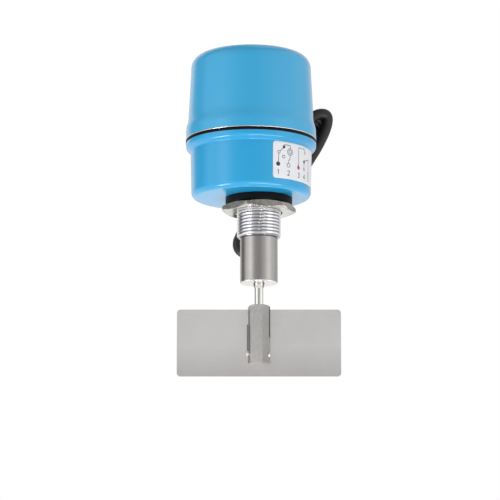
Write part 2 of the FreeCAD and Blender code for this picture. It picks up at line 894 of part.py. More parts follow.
def pivot_bush():
    """Brass bush that the carrier turns on, with a flange above the plate and a clip groove below."""
    tail_z = support_low_z - bush_tail
    groove_top = support_low_z - clip_play
    return revolved([
        (bush_bore_r, tail_z),
        (bush_r, tail_z),
        (bush_r, groove_top - clip_thickness),
        (clip_groove_r, groove_top - clip_thickness),
        (clip_groove_r, groove_top),
        (bush_r, groove_top),
        (bush_r, support_top_z),
        (bush_flange_r, support_top_z),
        (bush_flange_r, swing_low_z),
        (bush_spigot_r, swing_low_z),
        (bush_spigot_r, swing_top_z),
        (bush_bore_r, swing_top_z),
    ])


def bush_clip():
    """Open retaining clip in the bush's groove, just under the support plate."""
    top_z = support_low_z - clip_play
    low_z = top_z - clip_thickness
    half = clip_opening / 2
    clip = ring(clip_r, clip_groove_r + bond_gap, low_z, top_z)
    opening = box((0, -half, low_z - cut_margin), (clip_r + cut_margin, half, top_z + cut_margin))
    return clip.cut(opening)


def lug_points():
    return [around(lug_circle_r, deg, motor_x) for deg in lug_degs]


def swing_plate():
    """Plate under the gearbox with two lugs, an arm for the spring and an upturned switch fin."""
    plate = cylinder(gearbox_r, swing_low_z, swing_top_z, motor_x)
    arm = box((0, arm_y[0], swing_low_z), (fin_x[1], arm_y[1], swing_top_z))
    fin = box((fin_x[0], -fin_thickness, swing_low_z), (fin_x[1], 0, switch_high_z))
    lugs = [lug_web(p, swing_low_z, swing_top_z) for p in lug_points()]
    plate = plate.multiFuse([arm, fin] + lugs).removeSplitter()
    holes = [(bush_spigot_r, 0, 0), (stop_pin_r, stop_pin_x, 0), (spring_pin_r, spring_x, spring_pin_y)]
    holes += [(stud_r, p.x, p.y) for p in lug_points()]
    for radius, x, y in holes:
        plate = plate.cut(bore(radius + bond_gap, swing_low_z, swing_top_z, x, y))
    return plate


def lug_web(point, low_z, high_z):
    """A round-ended lug from the motor's axis out to a screw."""
    centre = Vector(motor_x, 0, low_z)
    tip = Vector(point.x, point.y, low_z)
    across = Vector(0, 0, 1).cross((tip - centre).normalize()) * lug_r
    corners = [centre + across, tip + across, tip - across, centre - across]
    web = prism([(p.x, p.y) for p in corners], low_z, high_z)
    return web.fuse(cylinder(lug_r, low_z, high_z, point.x, point.y))


def gearbox():
    """Round gearbox: mounting plate with two lugs and a slightly narrower drum."""
    plate_top = swing_top_z + gearbox_plate
    plate = cylinder(gearbox_r, swing_top_z, plate_top, motor_x)
    drum = cylinder(gearbox_r - gearbox_waist, plate_top, gearbox_top_z, motor_x)
    lugs = [lug_web(p, swing_top_z, plate_top) for p in lug_points()]
    case = plate.multiFuse([drum] + lugs).removeSplitter()
    shaft_bore_top = swing_top_z + output_bore_depth
    case = case.cut(cylinder(output_shaft_r + running_gap, swing_top_z - cut_margin, shaft_bore_top))
    for p in lug_points():
        case = case.cut(bore(stud_r + bond_gap, swing_top_z, plate_top, p.x, p.y))
    return case


def motor_can():
    """Synchronous motor's can with a rolled edge and a small bearing boss."""
    can_r = gearbox_r - motor_inset
    edge = (can_r - motor_edge, motor_top_z - motor_edge)
    return revolved([
        (0, gearbox_top_z),
        (can_r, gearbox_top_z),
        (can_r, motor_top_z - motor_edge),
        corner_arc(edge, motor_edge, 0, 90),
        (motor_boss_r, motor_top_z),
        (motor_boss_r, motor_top_z + motor_boss_height),
        (0, motor_top_z + motor_boss_height),
    ], motor_x)


def motor_screws():
    seat_z = swing_top_z + gearbox_plate
    return [
        pan_screw(p.x, p.y, seat_z, screw_head_r, screw_head_height, stud_r, seat_z - swing_low_z)
        for p in lug_points()
    ]


def stop_pin():
    return cylinder(stop_pin_r, swing_low_z - stop_pin_length, swing_top_z, stop_pin_x)


def spring_pin():
    top_z = swing_top_z + spring_pin_height
    return cylinder(spring_pin_r, swing_low_z, top_z, spring_x, spring_pin_y)


def spring_anchor():
    """Turned post with a collar on the support plate."""
    x, y = spring_x, spring_anchor_y
    collar_r = spring_pin_r + spring_collar_width
    collar_top_z = support_top_z + spring_collar_height
    post = cylinder(spring_pin_r, support_low_z, swing_top_z + spring_pin_height, x, y)
    return post.fuse(cylinder(collar_r, support_top_z, collar_top_z, x, y))


def return_spring():
    """Extension spring: close coils, a radial in-turn at each end and a loop round each pin."""
    start_y = spring_anchor_y + spring_loop_reach
    end_y = spring_pin_y - spring_loop_reach
    pitch = (end_y - start_y) / spring_turns
    helix = Part.makeHelix(pitch, end_y - start_y, spring_mean_r)
    wire = Part.makeCircle(spring_wire_r, Vector(spring_mean_r, 0, 0), Vector(0, 1, 0))
    coil = Part.Wire(helix).makePipeShell([Part.Wire(wire)], True, True)
    coil.rotate(Vector(0, 0, 0), Vector(1, 0, 0), -90)
    coil.translate(Vector(spring_x, start_y, spring_z))
    pieces = []
    for pin_y, side in ((spring_anchor_y, 1), (spring_pin_y, -1)):
        coil_end = Vector(spring_x + spring_mean_r, pin_y + side * spring_loop_reach, spring_z)
        loop_near = Vector(spring_x, pin_y + side * spring_loop_r, spring_z)
        reach = loop_near - coil_end
        pieces.append(Part.makeCylinder(spring_wire_r, reach.Length, coil_end, reach))
        loop_centre = Vector(spring_x, pin_y, spring_z)
        pieces.append(Part.makeTorus(spring_loop_r, spring_wire_r, loop_centre, Vector(0, 0, 1)))
    return coil.multiFuse(pieces)


def switch_body(x):
    """Small snap-action switch: case, plunger bore, two through holes and three terminals."""
    body = box((x, switch_front_y, switch_low_z), (x + switch_thickness, switch_back_y, switch_high_z))
    middle_x = x + switch_thickness / 2
    bore_start = Vector(middle_x, switch_front_y - cut_margin, switch_mid_z)
    bore_depth = switch_depth - plunger_bore_back_wall + cut_margin
    body = body.cut(Part.makeCylinder(plunger_r + running_gap, bore_depth, bore_start, Vector(0, 1, 0)))
    half_width = terminal_width / 2
    half_thick = terminal_thickness / 2
    for k in (-1, 0, 1):
        z = switch_mid_z + k * terminal_pitch
        low = (middle_x - half_width, switch_back_y - terminal_root, z - half_thick)
        high = (middle_x + half_width, switch_back_y + terminal_length, z + half_thick)
        body = body.fuse(box(low, high))
    return body.cut(switch_screw_cutters(screw_hole_gap)).removeSplitter()


def switch_screw_places():
    y = switch_back_y - switch_screw_from_back
    return [(y, switch_low_z + switch_screw_inset), (y, switch_high_z - switch_screw_inset)]


def switch_screw_cutters(gap):
    start_x = switch_row_x - cut_margin
    length = ear_x + ear_thickness + cut_margin - start_x
    cutters = [
        Part.makeCylinder(switch_screw_r + gap, length, Vector(start_x, y, z), Vector(1, 0, 0))
        for y, z in switch_screw_places()
    ]
    return cutters[0].fuse(cutters[1])


def switch_screws():
    """Long screws through the bracket's ear and both switches."""
    screws = []
    seat_x = ear_x + ear_thickness
    grip = seat_x - switch_row_x
    along_x = Vector(1, 0, 0)
    for y, z in switch_screw_places():
        tip = Vector(switch_row_x, y, z)
        seat = Vector(seat_x, y, z)
        shank = Part.makeCylinder(switch_screw_r, grip, tip, along_x)
        head = Part.makeCylinder(switch_screw_head_r, switch_screw_head_height, seat, along_x)
        screws.append(shank.fuse(head))
    return screws


def switch_bracket():
    """Bent bracket: a foot screwed to the support plate and an upright ear for the switches."""
    high_z = switch_high_z + ear_margin
    ear = box(
        (ear_x, switch_front_y - ear_margin, support_top_z),
        (ear_x + ear_thickness, switch_back_y + ear_margin, high_z),
    )
    foot = box(
        (bracket_foot_x, bracket_foot_y[0], support_top_z),
        (ear_x + ear_thickness, bracket_foot_y[1], support_top_z + ear_thickness),
    )
    rim = bore(plate_r, support_top_z, high_z, housing_x)
    bracket = ear.fuse(foot.common(rim)).removeSplitter()
    bracket = bracket.cut(switch_screw_cutters(screw_hole_gap))
    foot_top_z = support_top_z + ear_thickness
    for x in bracket_screw_xs:
        hole = bore(bracket_screw_r + screw_hole_gap, support_top_z, foot_top_z, x, bracket_screw_y)
        bracket = bracket.cut(hole)
    return bracket


def bracket_screws():
    seat_z = support_top_z + ear_thickness
    return [
        pan_screw(
            x, bracket_screw_y, seat_z, bracket_screw_head_r, bracket_screw_head_height,
            bracket_screw_r, seat_z - support_low_z,
        )
        for x in bracket_screw_xs
    ]


def plunger(x):
    """Push pin of one switch, with a domed end that faces the fin."""
    middle_x = x + switch_thickness / 2
    start = Vector(middle_x, free_gap, switch_mid_z)
    pin = Part.makeCylinder(plunger_r, plunger_length, start, Vector(0, 1, 0))
    tip = [e for e in pin.Edges if e.Length > plunger_r and abs(e.CenterOfMass.y - free_gap) < bond_gap]
    return pin.makeFillet(plunger_tip_radius, tip)


def along_exit(radius, start, end, tip_r=None):
    """A round piece along the cable's exit line, from and to distances off the housing's axis."""
    heading = around(1, cable_exit_deg)
    place = around(start, cable_exit_deg, housing_x, cable_exit_z)
    if tip_r is None:
        return Part.makeCylinder(radius, end - start, place, heading)
    return Part.makeCone(radius, tip_r, end - start, place, heading)


def cable_grommet():
    """Rubber sleeve: a flange outside, a lip inside the cup wall and a long taper."""
    wall_out = cup_r_at_exit + grommet_wall_gap
    wall_in = cup_r_at_exit - cup_wall - grommet_wall_gap
    tip = cup_r_at_exit + grommet_reach
    neck_part = along_exit(grommet_neck_r - bond_gap, wall_in, wall_out)
    flange = along_exit(grommet_flange_r, wall_out, wall_out + grommet_flange_thickness)
    taper = along_exit(grommet_neck_r, wall_out, tip, grommet_tip_r)
    lip = along_exit(grommet_lip_r, wall_in - grommet_inside, wall_in)
    sleeve = neck_part.multiFuse([flange, taper, lip])
    sleeve = sleeve.cut(along_exit(cable_r + bond_gap, wall_in - cable_inside, tip + cut_margin))
    return sleeve.cut(cup_wall_band()).removeSplitter()


def cup_wall_band():
    """The cup's wall as the grommet sees it, so that its flange and lip follow the curve."""
    low = cable_exit_z - grommet_flange_r - cut_margin
    high = cable_exit_z + grommet_flange_r + cut_margin
    outer = cone(cup_r_at(low) + bond_gap, cup_r_at(high) + bond_gap, low, high, housing_x)
    inner_wall = cup_wall + bond_gap
    inner = cone(cup_r_at(low) - inner_wall, cup_r_at(high) - inner_wall, low, high, housing_x)
    passage = along_exit(grommet_neck_r - bond_gap, cup_r_at_exit - 2 * cup_wall, cup_r_at_exit + cup_wall)
    return outer.cut(inner).cut(passage)


def cable_points():
    inner = around(cup_r_at_exit - cup_wall - cable_inside, cable_exit_deg, housing_x, cable_exit_z)
    bend = around(cable_bend_start, cable_exit_deg, housing_x, cable_exit_z)
    return [tuple(inner), tuple(bend)] + lead_route


def lead_cable():
    solid, radii, length = tube_along(cable_points(), cable_r)
    section = math.pi * cable_r ** 2
    print("lead arc radii in diameters", [round(r / (2 * cable_r), 1) for r in radii])
    print("lead volume over section times length", round(solid.Volume / (section * length), 4))
    print("lead length", round(length, 1))
    return solid


def in_hank(across, y, along):
    """A point in the hank's own directions: across it, back from the housing and along it."""
    lean = math.radians(hank_lean_deg)
    x = hank_x + across * math.cos(lean) + along * math.sin(lean)
    z = hank_z - across * math.sin(lean) + along * math.cos(lean)
    return Vector(x, y, z)


def cable_hank():
    """Outer shape of the folded cable: a long stadium leaning behind the housing."""
    y = hank_front_y
    corners = [in_hank(-hank_fold_r, y, -hank_half_run), in_hank(-hank_fold_r, y, hank_half_run)]
    corners += [in_hank(hank_fold_r, y, hank_half_run), in_hank(hank_fold_r, y, -hank_half_run)]
    top = in_hank(0, y, hank_half_run + hank_fold_r)
    bottom = in_hank(0, y, -hank_half_run - hank_fold_r)
    outline = Part.Wire([
        Part.LineSegment(corners[0], corners[1]).toShape(),
        Part.Arc(corners[1], top, corners[2]).toShape(),
        Part.LineSegment(corners[2], corners[3]).toShape(),
        Part.Arc(corners[3], bottom, corners[0]).toShape(),
    ])
    hank = Part.Face(outline).extrude(Vector(0, hank_depth, 0))
    long_edges = [e for e in hank.Edges if abs(e.CenterOfMass.y - y - hank_depth / 2) > 1]
    return hank.makeFillet(hank_edge_radius, long_edges)


def cable_tie():
    """Strap round the middle of the hank, with its head on the back."""
    outer = hank_fold_r + tie_thickness
    back_y = hank_front_y + hank_depth
    strap = hank_block(outer, hank_front_y - tie_thickness, back_y + tie_thickness, tie_corner_r)
    inside = hank_block(hank_fold_r + bond_gap, hank_front_y - bond_gap, back_y + bond_gap, 0)
    strap = strap.cut(inside)
    low = in_hank(-tie_head / 2, back_y + tie_thickness, -tie_head / 2)
    head = Part.makeBox(tie_head, tie_head * 0.8, tie_head, low)
    head.rotate(low, Vector(0, 1, 0), hank_lean_deg)
    return strap.fuse(head)


def hank_block(half_across, front_y, back_y, corner_r):
    """A block across the hank as wide as the tie."""
    low = in_hank(-half_across, front_y, -tie_width / 2)
    block = Part.makeBox(2 * half_across, back_y - front_y, tie_width, low)
    if corner_r:
        block = block.makeFillet(corner_r, [e for e in block.Edges if is_vertical(e)])
    block.rotate(low, Vector(0, 1, 0), hank_lean_deg)
    return block


def inner_leads():
    """Five cores from the cable's end up through the plate's notch to the switch terminals."""
    leads = []
    end = Vector(*cable_points()[0])
    notch = around(plate_r - lead_notch_inset - core_r, lead_notch_deg, housing_x)
    ends = [(x + switch_thickness / 2, k) for x in switch_xs for k in (-1, 0, 1)][:core_count]
    for number, (x, k) in enumerate(ends):
        turn = math.radians(360 / core_count * number)
        side = core_circle_r * math.cos(turn)
        rise = core_circle_r * math.sin(turn)
        z = switch_mid_z + k * terminal_pitch
        y = switch_back_y + terminal_length + core_r
        # One point each at the cable's end, past it, below the notch, above it and by the terminal
        route = [
            (end.x + side, end.y - 1.5, end.z + rise),
            (end.x + side + 3, end.y - 7, end.z + rise + 1),
            (notch.x + 1.2 * side - 2, notch.y - 1, support_low_z - 4),
            (notch.x + 1.2 * side, notch.y + 0.8 * rise, support_top_z + 4),
            (x, y + 4 + 0.5 * (number - 2), z),
            (x, y, z),
        ]
        solid, radii, length = tube_along(route, core_r)
        leads.append(solid)
    return leads


def motor_leads():
    """Two short leads from the motor's can to the outer switch."""
    leads = []
    x = switch_xs[1] + switch_thickness / 2
    for number in (0, 1):
        z = switch_mid_z + terminal_pitch + (2 * number - 1) * 1.3
        start = around(gearbox_r + free_gap, 62 - 5 * number, motor_x, gearbox_top_z + 6)
        outer = around(gearbox_r + 4, 56 - 6 * number, motor_x, gearbox_top_z + 6)
        route = [
            tuple(start),
            tuple(outer),
            (x - 3, switch_back_y + 9, z + 3),
            (x + 0.8 * (2 * number - 1), switch_back_y + terminal_length + 2.5, z),
        ]
        solid, radii, length = tube_along(route, core_r)
        leads.append(solid)
    return leads


parts = {
    "housing_cup": housing_cup,
    "cover_gasket": cover_gasket,
    "threaded_neck": neck,
    "rubber_washer": rubber_washer,
    "locknut": locknut,
    "guard_tube": guard_tube,
    "shaft_seal": shaft_seal,
    "upper_bearing_outer": lambda: bearing_outer(upper_bearing_z),
    "lower_bearing_outer": lambda: bearing_outer(lower_bearing_z),
    "upper_bearing_inner": lambda: bearing_inner(upper_bearing_z),
    "lower_bearing_inner": lambda: bearing_inner(lower_bearing_z),
    "base_plate": base_plate,
    "base_screws": base_screws,
    "plate_posts": plate_posts,
    "support_plate": support_plate,
    "support_screws": support_screws,
    "bridge_posts": bridge_posts,
    "cover_bridge": cover_bridge,
    "bridge_screws": bridge_screws,
    "switch_bracket": switch_bracket,
    "bracket_screws": bracket_screws,
    "alarm_switch": lambda: switch_body(switch_xs[0]),
    "motor_switch": lambda: switch_body(switch_xs[1]),
    "switch_screws": switch_screws,
    "alarm_plunger": lambda: plunger(switch_xs[0]),
    "motor_plunger": lambda: plunger(switch_xs[1]),
    "spring_anchor": spring_anchor,
    "return_spring": return_spring,
    "pivot_bush": pivot_bush,
    "bush_clip": bush_clip,
    "swing_plate": swing_plate,
    "gearbox": gearbox,
    "motor_can": motor_can,
    "motor_screws": motor_screws,
    "stop_pin": stop_pin,
    "spring_pin": spring_pin,
    "motor_output_shaft": output_shaft,
    "drive_coupling": drive_coupling,
    "coupling_screws": coupling_screws,
    "drive_shaft": drive_shaft,
    "paddle_hub": paddle_hub,
    "paddle_blade": paddle_blade,
    "weld_tacks": weld_tacks,
    "cover": cover,
    "cover_screw": cover_screw,
    "cover_seal": cover_seal,
    "cable_grommet": cable_grommet,
    "lead_cable": lead_cable,
    "cable_hank": cable_hank,
    "cable_tie": cable_tie,
    "inner_leads": inner_leads,
    "motor_leads": motor_leads,
}

os.makedirs("parts", exist_ok=True)
for name, make in parts.items():
    made = make()
    shape = Part.makeCompound(made) if isinstance(made, list) else made
    solids = shape.Solids
    if not shape.isValid() or not solids:
        print("invalid", name)
    expected = len(made) if isinstance(made, list) else 1
    if len(solids) != expected:
        print("solids", name, len(solids))
    shape.exportStep(f"parts/{name}.step")
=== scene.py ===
import bmesh
import bpy
import json
import math

from mathutils import Matrix, Vector


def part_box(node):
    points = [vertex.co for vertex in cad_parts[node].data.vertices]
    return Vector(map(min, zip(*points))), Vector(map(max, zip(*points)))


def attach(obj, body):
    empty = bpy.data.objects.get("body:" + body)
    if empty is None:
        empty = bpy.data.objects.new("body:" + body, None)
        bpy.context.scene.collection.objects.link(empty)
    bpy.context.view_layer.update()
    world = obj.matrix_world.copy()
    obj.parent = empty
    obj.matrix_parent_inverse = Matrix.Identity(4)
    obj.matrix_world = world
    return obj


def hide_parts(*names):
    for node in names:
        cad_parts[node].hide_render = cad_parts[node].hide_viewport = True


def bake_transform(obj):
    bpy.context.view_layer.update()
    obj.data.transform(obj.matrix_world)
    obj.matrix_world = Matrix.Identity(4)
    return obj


# Rotary paddle level switch: camera, cable, finish of every surface, thread, label and small detail.
# Metres, in the same frame as the solids: Z up the drive shaft, z = 0 at the locknut's lower face.
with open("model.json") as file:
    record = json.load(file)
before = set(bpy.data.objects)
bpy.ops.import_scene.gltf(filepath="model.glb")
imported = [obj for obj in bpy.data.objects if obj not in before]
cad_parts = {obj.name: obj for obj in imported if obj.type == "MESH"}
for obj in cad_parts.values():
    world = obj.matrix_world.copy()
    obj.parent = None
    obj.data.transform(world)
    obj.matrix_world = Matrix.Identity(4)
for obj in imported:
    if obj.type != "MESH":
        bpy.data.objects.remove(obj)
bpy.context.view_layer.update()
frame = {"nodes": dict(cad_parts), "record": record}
nodes = frame["nodes"]
mm = 0.001

# Vertices that are no further apart than this are one
same_place = 1e-7

# Camera: in front of the object and a little lower, looking up at a point near its middle
view_elevation = -11.5
view_distance = 2.0
view_width = 0.3062
aim = Vector((-5.45 * mm, 0, -24.2 * mm))

# Housing cup, as its solid has it
cup_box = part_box("housing_cup")
housing_x = (cup_box[0].x + cup_box[1].x) / 2
cup_low_z = cup_box[0].z
cup_top_z = cup_box[1].z
rim_r = (cup_box[1].x - cup_box[0].x) / 2
cup_wall_low_r = 36.75 * mm
cup_wall_high_r = 37.2 * mm
cup_foot_radius = 3.5 * mm
cup_wall_low_z = cup_low_z + cup_foot_radius
cup_step_low_z = cup_top_z - 9.6 * mm

# Round of the rim's lower edge, and the fillet under it
rim_round_top_z = cup_top_z - 3.3 * mm
rim_round_r = 3.0 * mm
rim_round_deg = 60.0
rim_fillet_r = 1.5 * mm
rim_fillet_low_z = cup_top_z - 7.6 * mm

# Seam: the gasket's lip wraps over the rim's top, and over it come the cover's bright edge and skirt
seam_low_z = cup_top_z - 1.7 * mm
seam_high_z = cup_top_z + 0.25 * mm
lip_height = 0.55 * mm
lip_proud = 0.14 * mm
seam_inner_r = rim_r - 0.45 * mm
skirt_high_z = seam_high_z + lip_height + 1.4 * mm

# Threaded neck
neck_low, neck_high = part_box("threaded_neck")
thread_r = 13.5 * mm
thread_pitch = 2.0 * mm
thread_depth = 0.9 * mm
thread_end_chamfer = 1.0 * mm
shoulder_r = 13.3 * mm

# Locknut
nut_low_z = -1.1 * mm
nut_high_z = 3.3 * mm

# Guard tube's foot, the shaft under it and the hub's top
tube_foot_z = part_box("guard_tube")[0].z
hub_top_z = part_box("paddle_hub")[1].z
shaft_neck_r = 2.68 * mm
collar_r = 3.3 * mm
collar_low_z = tube_foot_z - 1.2 * mm
collar_taper_z = tube_foot_z - 3.2 * mm

# Cable: its way, in millimetres, from inside the grommet up, over and down into the hank
cable_r = 3.25 * mm
core_r = 0.75 * mm
core_length = 34.0
lead_route = [
    (-14.85, 27.63, 22.0),
    (-29.43, 67.66, 22.0),
    (-33.6, 79.4, 31.3),
    (-35.1, 83.4, 46.2),
    (-33.5, 78.1, 60.7),
    (-26.0, 72.5, 77.0),
    (-18.0, 67.0, 89.0),
    (-5.3, 64.0, 101.0),
    (12.7, 63.5, 101.0),
    (25.0, 63.6, 89.0),
    (24.5, 63.55, 72.0),
]

# Hank: the middle of its two columns, its lean, and its layers from the back to the front, in
# millimetres. A fold is its middle along and across the hank and its reach; "right" is where the
# right column lies low down and high up.
hank_x = 14.0 * mm
hank_z = 27.0 * mm
hank_lean = math.radians(30)
hank_column = 7.5
hank_column_half = 12
right_column_heights = (-20, -3, 14)
hank_layers = [
    {"y": 63.55, "low": (-38.0, 1.2, 7.7), "right": (3.4, 5.5), "high": (38.0, -2.2, 7.7)},
    {"y": 57.05, "low": (-40.0, 1.1, 7.6), "right": (3.8, 6.0), "high": (43.0, -1.6, 7.6)},
    {"y": 50.55, "low": (-42.0, 1.0, 7.2), "right": (4.3, 6.9)},
    {"y": 44.05, "low": (-44.8, 0.5, 5.3)},
]
# The fold that shows at the upper right, from the third layer over to the front one
open_fold = [
    (32.4, 50.5, 44.4), (37.8, 50.5, 53.1), (43.6, 50.2, 65.6), (44.0, 47.8, 73.6), (35.6, 45.4, 72.9),
    (29.4, 44.4, 63.6),
]
sheath_end = (4.9, -24.0)
sheath_end_from = (5.3, -35.0)


# Small helpers


def in_metres(points):
    return [tuple(value * mm for value in point) for point in points]


def add_object(name, data):
    made = bpy.data.objects.new(name, data)
    bpy.context.scene.collection.objects.link(made)
    return made


def face_point(obj, point, azimuth, elevation, distance):
    """Places a camera or lamp round a point and turns it to the point; azimuth 0 is the front."""
    side, rise = math.radians(azimuth), math.radians(elevation)
    away = Vector((math.cos(rise) * math.sin(side), -math.cos(rise) * math.cos(side), math.sin(rise)))
    obj.location = point + away * distance
    obj.rotation_mode = "QUATERNION"
    obj.rotation_quaternion = (-away).to_track_quat("-Z", "Y")


def add_mesh(name, verts, faces, smooth=True):
    mesh = bpy.data.meshes.new(name)
    mesh.from_pydata([tuple(v) for v in verts], [], faces)
    mesh.update()
    mesh.polygons.foreach_set("use_smooth", [smooth] * len(mesh.polygons))
    return add_object(name, mesh)


def finish_with(obj, *materials):
    obj.data.materials.clear()
    for material in materials:
        obj.data.materials.append(material)


def place_piece(obj, body, slot, *replaced):
    """The piece rides on a body and stands for nodes; its slot argument is not used."""
    if replaced:
        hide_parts(*replaced)
    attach(obj, body)


def join_doubles(mesh):
    """Makes one vertex of those that share a place, as at the seams between a solid's faces."""
    work = bmesh.new()
    work.from_mesh(mesh)
    bmesh.ops.remove_doubles(work, verts=work.verts, dist=same_place)
    work.to_mesh(mesh)
    work.free()


def copy_of(node, name):
    """A piece that starts as a copy of a solid's mesh."""
    mesh = nodes[node].data.copy()
    join_doubles(mesh)
    return add_object(name, mesh)


def sharpen(obj, degrees):
    """Keeps edges sharper than an angle crisp in smooth shading."""
    mesh = obj.data
    limit = math.radians(degrees)
    work = bmesh.new()
    work.from_mesh(mesh)
    bmesh.ops.recalc_face_normals(work, faces=work.faces)
    for face in work.faces:
        face.smooth = True
    for edge in work.edges:
        edge.smooth = not (len(edge.link_faces) == 2 and edge.calc_face_angle(0) > limit)
    work.to_mesh(mesh)
    work.free()


def smooth_curve(name, points, radius, resolution=6, order=3):
    """A round cord on a spline that keeps to its control points."""
    data = bpy.data.curves.new(name, "CURVE")
    data.dimensions = "3D"
    data.bevel_depth = radius
    data.bevel_resolution = 6
    data.use_fill_caps = True
    spline = data.splines.new("NURBS")
    spline.points.add(len(points) - 1)
    for place, point in zip(spline.points, points):
        place.co = (*point, 1)
    spline.order_u = order
    spline.use_endpoint_u = True
    spline.resolution_u = resolution
    return add_object(name, data)


def as_mesh(curve):
    """The curve's tube as a mesh piece of the same name."""
    name = curve.name
    mesh = bpy.data.meshes.new_from_object(curve)
    bpy.data.objects.remove(curve)
    mesh.polygons.foreach_set("use_smooth", [True] * len(mesh.polygons))
    return add_object(name, mesh)


def turned(name, outline_at, columns, x=0.0, start=0.0):
    """A closed outline of radius and height, which may change with the angle, round an upright axis."""
    verts, faces = [], []
    for column in range(columns):
        turn = start + 2 * math.pi * column / columns
        outline = outline_at(turn)
        rows = len(outline)
        here, following = column * rows, (column + 1) % columns * rows
        for row, (radius, z) in enumerate(outline):
            above = (row + 1) % rows
            verts.append((x + radius * math.cos(turn), radius * math.sin(turn), z))
            faces.append((here + row, following + row, following + above, here + above))
    return add_mesh(name, verts, faces)


def lathe(name, outline, x=0.0, columns=160):
    """A round piece with the same outline all the way round."""
    return turned(name, lambda turn: outline, columns, x)


def reshape(obj, heights, wanted, x=0.0):
    """Cuts a mesh level at some heights, then moves each vertex to the radius wanted for it."""
    work = bmesh.new()
    work.from_mesh(obj.data)
    for z in heights:
        every = work.verts[:] + work.edges[:] + work.faces[:]
        bmesh.ops.bisect_plane(work, geom=every, dist=same_place, plane_co=(0, 0, z), plane_no=(0, 0, 1))
    for vert in work.verts:
        radius = math.hypot(vert.co.x - x, vert.co.y)
        moved = wanted(radius, vert.co.z)
        if moved != radius:
            vert.co.x = x + (vert.co.x - x) * (moved / radius)
            vert.co.y *= moved / radius
    work.to_mesh(obj.data)
    work.free()


def apply_modifiers(obj):
    """Makes the modifiers' result the piece's own mesh."""
    bpy.context.view_layer.update()
    shaped = obj.evaluated_get(bpy.context.evaluated_depsgraph_get())
    mesh = bpy.data.meshes.new_from_object(shaped)
    obj.modifiers.clear()
    obj.data = mesh


def complete(piece, crisp, material, body, slot, *replaced):
    """Gives a piece crisp edges above an angle, its material and its place."""
    sharpen(piece, crisp)
    finish_with(piece, material)
    place_piece(piece, body, slot, *replaced)


# Materials


def link(tree, source, target):
    tree.links.new(source, target)


def noise(tree, vector, scale, detail=3.0, rough=0.5):
    made = tree.nodes.new("ShaderNodeTexNoise")
    made.inputs["Scale"].default_value = scale
    made.inputs["Detail"].default_value = detail
    made.inputs["Roughness"].default_value = rough
    link(tree, vector, made.inputs["Vector"])
    return made.outputs["Fac"]


def ramp(tree, value, stops):
    made = tree.nodes.new("ShaderNodeValToRGB")
    elements = made.color_ramp.elements
    while len(elements) < len(stops):
        elements.new(0.5)
    for element, (place, colour) in zip(elements, stops):
        element.position = place
        element.color = (*colour, 1)
    link(tree, value, made.inputs["Fac"])
    return made.outputs["Color"]


def ranged(tree, value, low, high, start=0.3, end=0.7):
    made = tree.nodes.new("ShaderNodeMapRange")
    made.inputs["From Min"].default_value = start
    made.inputs["From Max"].default_value = end
    made.inputs["To Min"].default_value = low
    made.inputs["To Max"].default_value = high
    link(tree, value, made.inputs["Value"])
    return made.outputs["Result"]


def calculated(tree, operation, first, second=None):
    """One step of arithmetic on values of a node tree."""
    made = tree.nodes.new("ShaderNodeMath")
    made.operation = operation
    for socket, value in zip(made.inputs, (first, second)):
        if value is None:
            continue
        if isinstance(value, (int, float)):
            socket.default_value = value
        else:
            link(tree, value, socket)
    return made.outputs[0]


def darkened(tree, colour, keep):
    """The colour times a value of the node tree."""
    made = tree.nodes.new("ShaderNodeMix")
    made.data_type = "RGBA"
    made.blend_type = "MULTIPLY"
    made.inputs["Factor"].default_value = 1.0
    link(tree, colour, made.inputs["A"])
    link(tree, keep, made.inputs["B"])
    return made.outputs["Result"]


def axes(tree, coordinates):
    """The three parts of the coordinates."""
    split = tree.nodes.new("ShaderNodeSeparateXYZ")
    link(tree, coordinates, split.inputs["Vector"])
    return split.outputs["X"], split.outputs["Y"], split.outputs["Z"]


def shade(colour, factor):
    return tuple(min(1.0, c * factor) for c in colour)


def surface(
    name, colour, roughness, tone, cloud, grain, bump, metallic=0.0, stretch=(1, 1, 1), rough_spread=0.06,
    coat=0.0, coat_roughness=0.05, mark=None, specular=0.5,
):
    """A procedural finish: broad tone clouds, a finer grain in roughness, and a shallow bump."""
    material = bpy.data.materials.new(name)
    material.use_nodes = True
    tree = material.node_tree
    shader = tree.nodes["Principled BSDF"]
    shader.inputs["Metallic"].default_value = metallic
    shader.inputs["Coat Weight"].default_value = coat
    shader.inputs["Coat Roughness"].default_value = coat_roughness
    shader.inputs["Specular IOR Level"].default_value = specular
    coordinates = tree.nodes.new("ShaderNodeTexCoord").outputs["Object"]
    mapping = tree.nodes.new("ShaderNodeMapping")
    mapping.inputs["Scale"].default_value = stretch
    link(tree, coordinates, mapping.inputs["Vector"])
    clouds = noise(tree, coordinates, cloud)
    fine = noise(tree, mapping.outputs["Vector"], grain, 4.0, 0.6)
    mixed = calculated(tree, "MULTIPLY", calculated(tree, "ADD", clouds, fine), 0.5)
    stops = [(0.35, shade(colour, 1 - tone)), (0.65, shade(colour, 1 + tone))]
    painted = ramp(tree, mixed, stops)
    # A mark multiplies painted light and shade into the colour.
    if mark:
        painted = darkened(tree, painted, mark(tree, coordinates))
    link(tree, painted, shader.inputs["Base Color"])
    rough = ranged(tree, fine, roughness - rough_spread, roughness + rough_spread)
    link(tree, rough, shader.inputs["Roughness"])
    height = tree.nodes.new("ShaderNodeBump")
    height.inputs["Strength"].default_value = 1.0
    height.inputs["Distance"].default_value = bump * mm
    link(tree, fine, height.inputs["Height"])
    link(tree, height.outputs["Normal"], shader.inputs["Normal"])
    return material


